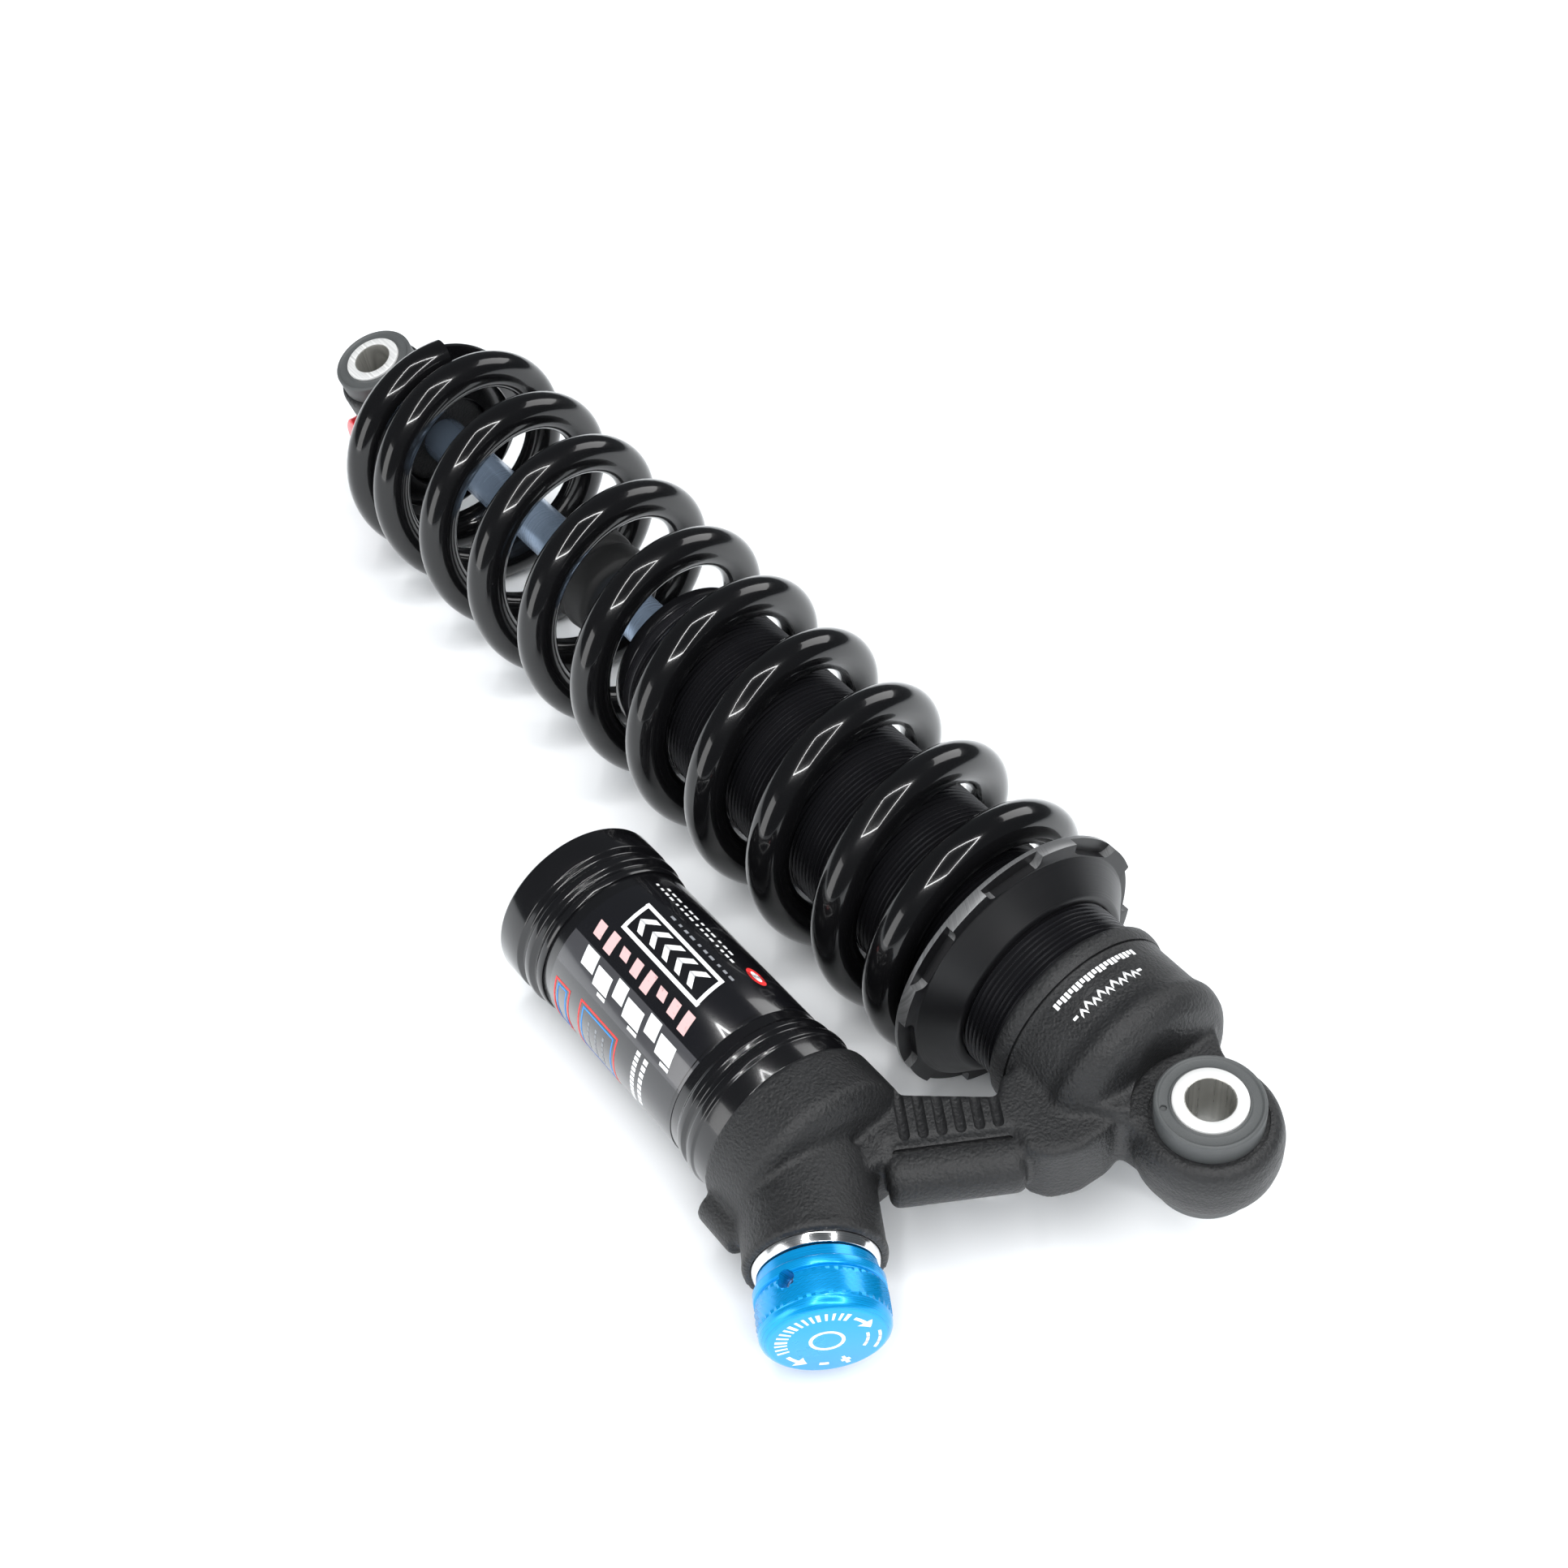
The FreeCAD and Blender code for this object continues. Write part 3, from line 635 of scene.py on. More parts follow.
def turned_finish(name, base, roughness, metallic, axis, lines=8.0, depth=0.004, **extra):
    """A turned and anodised or polished surface, with tool lines round its axis."""
    base = shade(base, 1.0)
    finish = Finish(name, base, roughness, Metallic=metallic, **extra)
    turned = finish.add("turning", Axis=tuple(axis), Lines_per_mm=lines)
    marks = finish.add("handling", Smears=0.12, Specks=0.12)
    finish.colour_from(finish.mix(turned["Tone"], shade(base, 0.82), shade(base, 1.12)))
    rough = ramp(finish.tree, turned["Tone"], 0, 1, roughness * 0.8, roughness * 1.2)
    finish.roughness_from(sums(finish.tree, "ADD", rough, marks["Roughness Change"]))
    finish.bump(turned["Height"], depth, 0.6)
    return finish.material


def grained_finish(name, base, grain_size, unevenness, tones, sheen, depth):
    """A moulded surface with a fine grain in its colour, sheen and bump."""
    finish = Finish(name, shade(base, 1.0), sum(sheen) / 2)
    grain = finish.add("blasted", Grain_Size=grain_size, Unevenness=unevenness)
    finish.colour_from(finish.mix(grain["Tone"], shade(base, tones[0]), shade(base, tones[1])))
    finish.roughness_from(ramp(finish.tree, grain["Tone"], 0, 1, *sheen))
    finish.bump(grain["Height"], depth, 0.5)
    return finish.material


def ink_finish(name, base):
    finish = Finish(name, base, 0.5)
    wear = noise(finish.tree, finish.place, 1400.0, 3.0)
    finish.colour_from(finish.mix(ramp(finish.tree, wear, 0.6, 0.78), base, shade(base, 0.6)))
    finish.roughness_from(ramp(finish.tree, wear, 0.3, 0.7, 0.35, 0.6))
    return finish.material


FINISHES = {}


def finish_named(name):
    """One of the shock's finishes, made the first time it is asked for."""
    # The steel colour (0.3, 0.39, 0.52) holds a painted reflection: its blue tint stands for a blue-grey sky
    # mirrored in the polished shaft.
    silver, sky_tinted_steel = (0.87, 0.87, 0.88), (0.3, 0.39, 0.52)
    bore = EYE_BORES["body"][1]
    makers = {
        "forged": forged_finish,
        "enamel": enamel_finish,
        "polymer": lambda: grained_finish(
            "bearing_polymer", colours().polymer, 0.18, 0.35, (0.75, 1.3), (0.42, 0.6), 0.02
        ),
        "rubber": lambda: grained_finish(
            "rubber", (0.012, 0.012, 0.0125), 0.3, 0.8, (0.6, 1.8), (0.45, 0.75), 0.03
        ),
        "white_ink": lambda: ink_finish("white_ink", (0.84, 0.85, 0.86, 1)),
        "pink_ink": lambda: ink_finish("pink_ink", (0.62, 0.4, 0.4, 1)),
        "grey_ink": lambda: ink_finish("grey_ink", (0.24, 0.25, 0.27, 1)),
        "red_ink": lambda: ink_finish("red_ink", (0.8, 0.03, 0.03, 1)),
        "blue_ink": lambda: ink_finish("blue_ink", (0.02, 0.25, 0.7, 1)),
        "black": lambda: turned_finish("black_anodised", colours().anodised, 0.16, 0.2, AXIS_X, 9.0,
                                       Coat_Weight=0.6, Coat_Roughness=0.08),
        "satin": lambda: turned_finish("black_satin", shade(colours().anodised, 1.1), 0.34, 0.2, AXIS_X, 7.0),
        "thread": lambda: turned_finish(
            "black_thread", shade(colours().anodised, 2.4), 0.24, 0.5, AXIS_X, 5.0
        ),
        "edge": lambda: turned_finish(
            "machined_edge", (0.2, 0.202, 0.205), 0.32, 0.6, (0.3, 0.8, 0.5), 6.0, 0.01
        ),
        "silver": lambda: turned_finish("bright_aluminium", silver, 0.2, 1.0, AXIS_X, 10.0),
        "sleeve": lambda: turned_finish("sleeve_aluminium", (0.86, 0.86, 0.85), 0.4, 0.45, bore, 9.0, 0.006),
        "bore": lambda: turned_finish(
            "reamed_bore", (0.4, 0.395, 0.37), 0.28, 0.7, (0.8, -0.6, 0), 2.2, 0.03
        ),
        "sky_tinted_steel": lambda: turned_finish("polished_shaft", sky_tinted_steel, 0.22, 0.62, AXIS_X, 12.0, 0.002),
        "bezel": lambda: turned_finish("bezel_aluminium", silver, 0.12, 1.0, ADJUSTER, 10.0, 0.003),
        "blue": lambda: turned_finish("blue_anodised", colours().adjuster, 0.26, 0.5, ADJUSTER, 9.0,
                                      Coat_Weight=0.25, Coat_Roughness=0.12),
        "red": lambda: turned_finish("red_anodised", colours().rebound, 0.25, 0.6, (0, 1, 0), 8.0,
                                     Coat_Weight=0.5, Coat_Roughness=0.1),
        "brass": lambda: turned_finish("brass", (0.72, 0.52, 0.2), 0.25, 1.0, AXIS_X, 10.0),
        "label": label_finish,
    }
    if name not in FINISHES:
        FINISHES[name] = makers[name]()
    return FINISHES[name]


def band(tree, value, low, high, edge):
    """1 between low and high, fading over edge; all in the value's own units."""
    rise = ramp(tree, value, low - edge, low + edge)
    fall = ramp(tree, value, high - edge, high + edge, 1.0, 0.0)
    return sums(tree, "MULTIPLY", rise, fall)


def label_finish():
    """Printed wrap: grey end band and charcoal panel; its red and blue rules and abstract bars are raised
    print made in prints().
    """
    finish = Finish("reservoir_wrap", (0.01, 0.01, 0.011, 1), 0.22, Coat_Weight=0.8, Coat_Roughness=0.06)
    tree = finish.tree
    split = node(tree, "SeparateXYZ")
    tree.links.new(finish.place, split.inputs[0])
    along = sums(tree, "DIVIDE", split.outputs[0], MM)
    side = sums(tree, "DIVIDE", sums(tree, "SUBTRACT", split.outputs[1], RESERVOIR.y), MM)
    height = sums(tree, "DIVIDE", split.outputs[2], MM)
    degrees = sums(tree, "MULTIPLY", sums(tree, "ARCTAN2", height, side), math.degrees(1))
    panel = band(tree, degrees, -150.0, 36.0, 0.3)
    colour_so_far = finish.mix(panel, (0.005, 0.005, 0.0065, 1), (0.016, 0.0165, 0.019, 1))
    stripe = band(tree, degrees, 36.0, 60.0, 0.3)
    colour_so_far = finish.mix(stripe, colour_so_far, (0.05, 0.05, 0.055, 1))
    colour_so_far = finish.mix(band(tree, along, 58.3, 58.55, 0.05), colour_so_far, (0.002, 0.002, 0.002, 1))
    finish.colour_from(colour_so_far)
    marks = finish.add("handling", Smears=0.15, Specks=0.2)
    finish.roughness_from(sums(tree, "ADD", marks["Roughness Change"], 0.18))
    finish.bump(marks["Height"], 0.004, 0.4)
    return finish.material


# ------------------------------------------------------------------ operators


class PieceOperator(bpy.types.Operator):
    """Base of the operators that make pieces."""

    bl_options = {"REGISTER", "UNDO"}

    def execute(self, context):
        self.make(context)
        return {"FINISHED"}


NECK = [(0, -9.6), (7.5, -10.6), (15, -15), (15, 15), (9.6, 15.5), (8.4, 11.2), (3.4, 10.4), (0, 9.8)]
DECK = [
    (10, 8), (28, 8), (28, 20.4), (25.4, 23.2), (37.8, 37.2), (38, 46), (30.4, 44.2), (18.8, 25.4),
    (14.4, 26.6), (11, 24.6), (8.8, 20), (8.4, 14),
]
WEB = [(28.4, 42), (38, 40), (38, 55), (27.4, 55)]
SHOULDER = [(5.5, 5.5), (13, 3), (14, 15), (8.6, 11.2)]
RIDGE = (Vector((15.6, 26, 0.4)), Vector((27.4, 45.2, 0.4)))


class SHOCK_OT_forging(PieceOperator):
    """Make the forging that joins the cap, the eye, the bridge, the collar and the housing"""

    bl_idname = "rear_shock.forging"
    bl_label = "Head Forging"

    def make(self, context):
        cap = [
            (11.8, 0), (11.8, 12.6), (12.8, 16.2), (14.8, 18.3), (17.2, 19.0), (19.8, 18.2), (29, 18.2),
            (30.8, 19.0), (33, 19.0), (33, 0),
        ]
        boss = [
            (-6.2, 0), (-6.2, 10.7), (-4.6, 11.9), (-1.5, 12.5), (2.5, 12.55), (5.2, 11.9), (6.5, 10.8),
            (6.5, 0),
        ]
        collar = [(33.9, 0), (33.9, 12.6), (34.8, 15.9), (36.5, 17.35), (46.2, 17.35), (46.2, 0)]
        mouth = Vector(MOUTH) / MM
        deep = mouth - ADJUSTER * 17
        volumes = [
            lathe_mesh(cap, Vector(), AXIS_X, 64, 0.4),
            lathe_mesh(collar, RESERVOIR, AXIS_X, 64, 0.4),
            lathe_mesh(boss, Vector(), (0, 0, 1), 64, 0.3),
            slab_mesh(NECK, -6.0, 6.4, 1.0),
            slab_mesh(DECK, -7.6, 6.4, 1.2),
            slab_mesh(WEB, -7.0, 5.6, 1.0),
            slab_mesh(SHOULDER, 3.5, 8.2, 0.8),
            cylinder_mesh(*RIDGE, 4.9, 48, 1.4),
            cylinder_mesh((35.3, 68.3, -3), (44.4, 68.3, -3), 3.9, 32, 0.2),
            cylinder_mesh(deep, mouth, 11.74, 64, 0.3),
            cylinder_mesh(mouth - ADJUSTER * 1.6, mouth, 11.95, 64, 0.3),
        ]
        forging = cast("head_casting", volumes, 0.5, 8)
        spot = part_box("body_eye_bush_upper")[1].x / MM + 0.7
        spool = [
            (-22, 0), (22, 0), (22, 12.7), (6.6, 12.7), (6.6, spot), (6.2, spot), (6.2, BUSH_RADIUS),
            (-6.2, BUSH_RADIUS), (-6.2, spot), (-22, spot),
        ]
        run = (Vector(DECK[4]) - Vector(DECK[2])).normalized().to_3d()
        across = Vector((-run.y, run.x, 0))
        dark = []
        for i in range(sizes().ribs):
            middle = Vector((19.6, 24.4, 6.55)) + run * (2.6 + i * RIB_SPACING)
            dark.append(cylinder_mesh(middle - across * 10, middle + across * 0.6, RIB_RADIUS, 20, 0.6))
        groove = Vector((1.7, -1.0, 4.0))
        dark += [
            cylinder_mesh(RIDGE[0] + groove, RIDGE[1] + groove, RIDGE_GROOVE, 20, 0.5),
            lathe_mesh(hoop(29.2, 29.6, 17.9, 19.8), Vector(), AXIS_X, 96, 0.0),
            cylinder_mesh((25, 0, 0), (40, 0, 0), 17.35, 96),
            cylinder_mesh(
                (38.2, RESERVOIR_Y, 0), (48, RESERVOIR_Y, 0), RESERVOIR_RADIUS + 0.02, 96
            ),
            cylinder_mesh(mouth - ADJUSTER * 11.9, mouth + ADJUSTER * 3, 10.65, 96),
        ]
        carve(forging, dark, [finish_named("forged")])
        tool = lathe_mesh(spool, Vector(), (0, 0, 1), 96, 0.0)
        for face in tool.faces:
            face.material_index = 1
        carve(forging, [tool], [finish_named("forged"), finish_named("silver")])
        settle(dressed(forging, "head_forging_body", ("forged", "silver"), 38), ROOT, "head_forging")
        fine = []
        for i in range(21):
            short = 0.35 * (i % 3 == 1)
            fine.append(bar(26.3 + short, 60 + i * 2.75, 1.9, 1.25 - short, 0))
        bold = [bar(22.8, 62 + i * 4.5, 3.0, 0.5, 0) for i in (0, 10)]
        for i in range(9):
            bold += chevron(21.9 + (i % 2) * 0.5, 66.5 + i * 4.5, 1.1, 3.9, 0.75)
        roll = round_cylinder((0, 0, 0), 18.1, -0.15, 0.12)
        printed("cap_print", [("white_ink", fine + bold)], roll, ROOT)


class SHOCK_OT_damper_tube(PieceOperator):
    """Make the threaded damper tube and the pieces at its open end"""

    bl_idname = "rear_shock.damper_tube"
    bl_label = "Damper Tube"

    def make(self, context):
        start, end, crest = DAMPER_LOW.x + 6, DAMPER_HIGH.x, DAMPER_HIGH.z
        pitch = sizes().thread_pitch / MM
        root = crest - THREAD_DEPTH
        steps = 60
        turns = int((end - 1.5 - start) / pitch) - 1
        bm = bmesh.new()
        form = [(0, root), (0.12, root), (0.44, crest), (0.56, crest), (0.88, root), (1, root)]
        verts = [bm.verts.new(((start + x * pitch) * MM, 0, r * MM)) for x, r in form]
        edges = [bm.edges.new(pair) for pair in zip(verts, verts[1:])]
        bmesh.ops.spin(
            bm, geom=verts + edges, cent=(0, 0, 0), axis=(1, 0, 0), angle=-math.tau,
            dvec=(pitch * MM / steps, 0, 0), steps=steps,
        )
        turn = bm.verts[:] + bm.edges[:] + bm.faces[:]
        for _ in range(turns - 1):
            turn = bmesh.ops.duplicate(bm, geom=turn)["geom"]
            moved = [v for v in turn if isinstance(v, bmesh.types.BMVert)]
            bmesh.ops.translate(bm, vec=(pitch * MM, 0, 0), verts=moved)
        bmesh.ops.remove_doubles(bm, verts=bm.verts, dist=2e-6)
        thread = piece_from(bm, "preload_thread", [finish_named("thread")], 50)
        settle(thread, ROOT)
        bore = 14.5
        tube = [
            (DAMPER_LOW.x, bore), (end, bore), (end, crest - 0.5), (end - 0.5, crest),
            (end - 2.6, crest), (end - 2.9, root), (start, root), (DAMPER_LOW.x, root),
        ]
        settle(lathe("threaded_tube", tube, "thread", steps=128), ROOT, "damper_tube")
        seal = [
            (end - 9, 6.6), (end - 9, bore), (end, bore), (end, crest - 0.6), (end + 3, crest - 0.6),
            (end + 3, 12.5), (end + 6, 11.5), (end + 6, 8.25), (end + 2.5, 8.25), (end + 2.5, 6.6),
        ]
        settle(lathe("seal_head_body", seal, "black", steps=128, soften=0.3), ROOT, "seal_head")
        wiper = [
            (end + 2.5, 5.05), (end + 6.9, 5.05), (end + 6.9, 5.8), (end + 6, 7.6), (end + 5.7, 8.2),
            (end + 2.5, 8.2),
        ]
        settle(lathe("wiper_lip", wiper, "rubber", steps=96), ROOT, "dust_wiper")


class SHOCK_OT_spring(PieceOperator):
    """Make the coil spring, with closed turns at both ends"""

    bl_idname = "rear_shock.spring"
    bl_label = "Coil Spring"

    def make(self, context):
        wire = sizes().wire_radius / MM
        mean = SPRING_HIGH.z - wire
        closed_turn, crest = 310.0, 149.7
        closed_pitch = sizes().closed_pitch / MM
        first = SPRING_LOW.x + wire
        free = SPRING_HIGH.x - SPRING_LOW.x - 2 * wire
        active_pitch = (free - 2 * closed_pitch * closed_turn / 360) / sizes().coils
        angle = math.radians(crest - closed_turn)
        outward = Vector((0, math.cos(angle), math.sin(angle)))
        place = Matrix.Translation((Vector((first, 0, 0)) + outward * mean) * MM)
        place @= Matrix((AXIS_X, outward, AXIS_X.cross(outward))).transposed().to_4x4()
        bm = bmesh.new()
        bmesh.ops.create_circle(bm, cap_ends=False, radius=wire * MM, segments=32, matrix=place)
        ring = bm.verts[:] + bm.edges[:]
        bmesh.ops.contextual_create(bm, geom=bm.edges[:])
        per_turn = 72
        closed = (closed_turn / 360, closed_pitch)
        stretches = (closed, (sizes().coils, active_pitch), closed)
        for turns, pitch in stretches:
            steps = round(per_turn * turns)
            made = bmesh.ops.spin(
                bm, geom=ring, cent=(0, 0, 0), axis=(1, 0, 0), angle=math.tau * turns,
                dvec=(pitch * turns * MM / steps, 0, 0), steps=steps,
            )
            ring = [g for g in made["geom_last"] if not isinstance(g, bmesh.types.BMFace)]
        bmesh.ops.contextual_create(bm, geom=[g for g in ring if isinstance(g, bmesh.types.BMEdge)])
        spring = piece_from(bm, "coil", [finish_named("enamel")], 60)
        settle(spring, ROOT, "coil_spring")
        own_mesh(spring)


class SHOCK_OT_preload(PieceOperator):
    """Make the notched preload ring and its washer"""

    bl_idname = "rear_shock.preload"
    bl_label = "Preload Ring"

    def make(self, context):
        start, face, outer = RING_LOW.x, RING_HIGH.x, RING_HIGH.z
        bore = DAMPER_HIGH.z + 0.04
        profile = [
            (start, bore), (face, bore), (face, outer), (start + 5.2, outer),
            (start + 5.2, outer - 2.6), (start + 0.2, bore + 1.5), (start, bore + 1.0),
        ]
        ring = temporary(lathe_mesh(profile, Vector(), AXIS_X, 192, 0.2), "ring_blank")
        cutters = []
        count = sizes().notches
        for i in range(count):
            middle = math.tau * i / count + math.radians(-2)
            spread = math.radians(12.6)
            corners = []
            for reach, side in ((outer - 2.0, -1), (outer + 2, -1.15), (outer + 2, 1.15), (outer - 2.0, 1)):
                a = middle + side * spread
                corners.append((math.cos(a) * reach, math.sin(a) * reach))
            bm = slab_mesh(corners, 0, 6, 0.0)
            walls = [e for e in bm.edges if abs(e.verts[0].co.z - e.verts[1].co.z) > 1e-5]
            bmesh.ops.bevel(
                bm, geom=walls, offset=0.9 * MM, offset_type="OFFSET", segments=4, profile=0.5,
                affect="EDGES", clamp_overlap=True, material=-1,
            )
            turn = Matrix(((0, 0, 1, 0), (1, 0, 0, 0), (0, 1, 0, 0), (0, 0, 0, 1)))
            place = Matrix.Translation(((face - 0.9 - 6) * MM, 0, 0)) @ turn
            bmesh.ops.transform(bm, matrix=place, verts=bm.verts)
            bmesh.ops.recalc_face_normals(bm, faces=bm.faces)
            cutters.append(bm)
        carve(ring, cutters, [finish_named("satin"), finish_named("edge")])
        piece = dressed(ring, "preload_collar", ("satin", "edge"), 30)
        for polygon in piece.data.polygons:
            reach = math.hypot(polygon.center.y, polygon.center.z) / MM
            outward = abs(polygon.normal.x) < 0.6
            rim = outward and reach > outer - 2.4 and polygon.center.x / MM > start + 5
            polygon.material_index = 1 if rim else 0
        settle(piece, "preload_ring", "preload_ring")
        low, high = box_mm("preload_washer")
        washer = hoop(low.x, high.x, bore + 0.2, high.z)
        settle(lathe("seat_washer", washer, "satin", steps=128), "preload_washer", "preload_washer")


class SHOCK_OT_reservoir(PieceOperator):
    """Make the reservoir tube, its printed wrap and its end cap"""

    bl_idname = "rear_shock.reservoir"
    bl_label = "Reservoir"

    def make(self, context):
        low, high = box_mm("reservoir_cap")
        start, end = low.x, high.x
        radius = (high.y - low.y) / 2
        foot, body = TUBE_LOW.x, RESERVOIR_RADIUS
        tube = [
            (foot, 14.2), (start + 1, 14.2), (start + 1, body), (55.8, body), (55.2, body + 0.45),
            (54.0, body + 0.55), (53.4, body - 0.1), (52.5, body - 0.1), (51.9, body + 0.95),
            (50.6, body + 0.95), (50.2, body + 0.6), (46.35, body + 0.6), (46.35, body - 0.02),
            (foot, body - 0.02),
        ]
        settle(lathe("gas_tube", tube, "black", RESERVOIR, steps=128), ROOT, "reservoir_tube")
        wrap_low, wrap_high = box_mm("reservoir_label")
        wrap = hoop(wrap_low.x, wrap_high.x, RESERVOIR_RADIUS - 0.05, RESERVOIR_RADIUS + 0.1)
        settle(
            lathe("printed_wrap", wrap, "label", RESERVOIR, steps=160, soften=0.03),
            ROOT, "reservoir_label",
        )
        cap = [
            (start, body - 0.1), (start, body + 0.35), (start + 1.3, body + 0.5), (start + 1.9, body - 0.05),
            (start + 2.5, body - 0.05), (start + 3.1, radius - 0.1), (start + 4.6, radius - 0.1),
            (start + 5.2, body), (start + 6.2, body), (start + 6.8, radius), (end - 0.5, radius),
            (end, radius - 0.5), (end, 6.0), (end - 6, 6.0), (end - 6, 2.6), (start + 1, 2.6),
            (start + 1, body - 0.1),
        ]
        settle(
            lathe("gas_cap", cap, "black", RESERVOIR, steps=128, soften=0.25),
            ROOT, "reservoir_cap",
        )
        dust = [
            (end - 5.5, 2.65), (end - 1.4, 2.65), (end - 1.4, 0), (end - 0.25, 0), (end - 0.25, 3.7),
            (end - 0.8, 4.25), (end - 5.5, 4.25),
        ]
        settle(lathe("valve_dust_cap", dust, "satin", RESERVOIR, steps=64), ROOT, "valve_cap")
        self.prints()

    def prints(self):
        """Abstract bars, chevrons and rules in place of the wrap's words and marks."""
        blocks, x = [], 62.0
        for i, width in enumerate((4.4, 3.2, 4.8, 3.0, 4.2, 3.6)):
            blocks.append(bar(x, 43 + (i % 2) * 4, 12, width, 0.9))
            if i % 2 == 0:
                blocks.append(bar(x - 0.2, 39.6, 2.2, width * 0.55, 0.15))
            x += width + 0.9
        tints = [bar(63.5 + i * 3.7, 63.5 + i % 3 * 2.2, 13 - i % 3 * 3.2, 2.1, 0.9) for i in range(8)]
        badge = frame_strokes(66, 81, 88.5, 106, 0.8, 2.8, 1.4)
        for i in range(5):
            badge += chevron(69.4 + i * 3.7, 86.5, 1.9, 14.5, 1.5)
        lines = [bar(67 + i * 1.9, 110.6, 1.9, 1.2 - (i % 3) * 0.25, 0) for i in range(10)]
        notes = [bar(71 + i * 1.5, 122, 1.8, 1.0 - (i % 4) * 0.15, 0) for i in range(16)]
        notes += [bar(73 + i * 1.7, 127, 1.8, 1.15 - (i % 3) * 0.2, 0) for i in range(12)]
        notes += [bar(68.6, -8 + i * 4, 2.9, 1.1, 0) for i in range(11)]
        notes += [bar(66.4, -4 + i * 5, 3.6, 1.1, 0) for i in range(8)]
        lines += [bar(78 + row * 2.2, -6 + i * 4.4, 3, 0.5, 0) for row in range(3) for i in range(6)]
        red = frame_strokes(89, -16, 93.6, 26, 0.35, 1.4) + frame_strokes(74.6, -16, 86, 29, 0.35, 1.4)
        blue = frame_strokes(89.9, -13, 92.7, 23, 0.3, 1.2) + frame_strokes(75.6, -13, 85, 26, 0.3, 1.2)
        groups = [
            ("white_ink", blocks + badge + notes),
            ("pink_ink", tints),
            ("grey_ink", lines),
            ("red_ink", red + oval(66.8, 130, 2.5, 5)),
            ("blue_ink", blue),
        ]
        surface = RESERVOIR_RADIUS + 0.1
        printed("wrap_print", groups, round_cylinder(RESERVOIR, surface, 0.0, 0.03), ROOT)
        centre = [("white_ink", oval(66.8, 130, 1.5, 2.4))]
        printed("wrap_spot", centre, round_cylinder(RESERVOIR, surface, 0.02, 0.05), ROOT)


class SHOCK_OT_adjuster(PieceOperator):
    """Make the compression adjuster: bezel, knurled knob with a hole for its set screw, and dial marks"""

    bl_idname = "rear_shock.adjuster"
    bl_label = "Compression Adjuster"

    def make(self, context):
        bezel = [
            (-3.4, 3.7), (0.6, 3.7), (0.6, 8.6), (1.6, 9.3), (1.6, 10.0), (0.2, 10.55), (-3.4, 10.55),
        ]
        settle(
            lathe("adjuster_rim", bezel, "bezel", MOUTH, ADJUSTER, 128, 0.12),
            ROOT, "adjuster_bezel",
        )
        knob = self.knob()
        settle(knob, "compression_adjuster", "compression_knob")
        ticks = [bar(a, 6.3, 2.0, 3.4 if i % 4 else 5.0, 0) for i, a in enumerate(range(58, 200, 9))]
        arrows = [
            [(50, 7.0), (50, 7.7), (32, 7.7), (32, 7.0)], [(32, 5.9), (32, 8.7), (18, 7.3)],
            [(208, 7.0), (208, 7.7), (226, 7.7), (226, 7.0)], [(226, 5.9), (226, 8.7), (240, 7.3)],
        ]
        hub = [bar(a, 2.3, 0.6, 20, 0) for a in range(0, 360, 20)]
        signs = [bar(a, 6.9, 0.7, 12, 0) for a in (256, 284)] + [bar(287.5, 6.1, 2.3, 5, 0)]
        rim = [bar(a, reach, 0.5, 12, 0) for reach in (6.2, 8.1) for a in range(-30, 6, 12)]
        face = onto_face(MOUTH, ADJUSTER, 13.25, 0.04)
        marks = ticks + arrows + hub + signs + rim
        printed("dial_print", [("white_ink", marks)], face, "compression_adjuster")

    def knob(self):
        knurls = sizes().knurls * 2
        rows = KNURL_ROWS
        low, high, radius = 6.3, 11.0, 10.5
        band_rows = [(low + (high - low) * i / rows, radius) for i in range(rows + 1)]
        profile = [
            (2.0, 3.2), (10.5, 3.2), (10.5, 0), (13.26, 0), (13.26, 9.1), (13.16, 9.5), (12.86, 9.95),
            (12.4, 10.35), (11.8, 10.6), (11.3, 10.65), (11.15, 10.4),
        ] + band_rows[::-1] + [
            (6.15, 10.3), (5.95, 10.3), (5.75, 10.7), (5.6, 10.75), (4.3, 10.75), (4.1, 10.6), (4.0, 10.1),
            (2.0, 9.9),
        ]
        bm = bmesh.new()
        outline = section(bm, profile, 0)
        bmesh.ops.spin(
            bm, geom=outline, cent=(0, 0, 0), axis=(1, 0, 0), angle=math.tau, steps=knurls, use_merge=True
        )
        bmesh.ops.remove_doubles(bm, verts=bm.verts, dist=1e-6)
        for v in bm.verts:
            reach = math.hypot(v.co.y, v.co.z)
            row = (v.co.x / MM - low) / (high - low) * rows
            if abs(reach / MM - radius) > 0.02 or abs(row - round(row)) > 0.01:
                continue
            if not 0 < round(row) < rows:
                continue
            column = round(math.atan2(v.co.z, v.co.y) / math.tau * knurls)
            lift = KNURL_PEAK if (column + round(row)) % 2 else KNURL_DIP
            v.co.yz = v.co.yz * (1 + lift * MM / reach)
        bmesh.ops.transform(bm, matrix=facing(MOUTH, ADJUSTER), verts=bm.verts)
        blank = temporary(bm, "dial_blank")
        side = Matrix.Rotation(math.radians(SET_SCREW_TURN), 3, ADJUSTER) @ Vector((0, 0, 1))
        foot = Vector(MOUTH) / MM + ADJUSTER * 6.8
        carve(blank, [cylinder_mesh(foot + side * 5, foot + side * 14, 1.5, 32)], [finish_named("blue")])
        return dressed(blank, "compression_dial", ("blue",), 24)


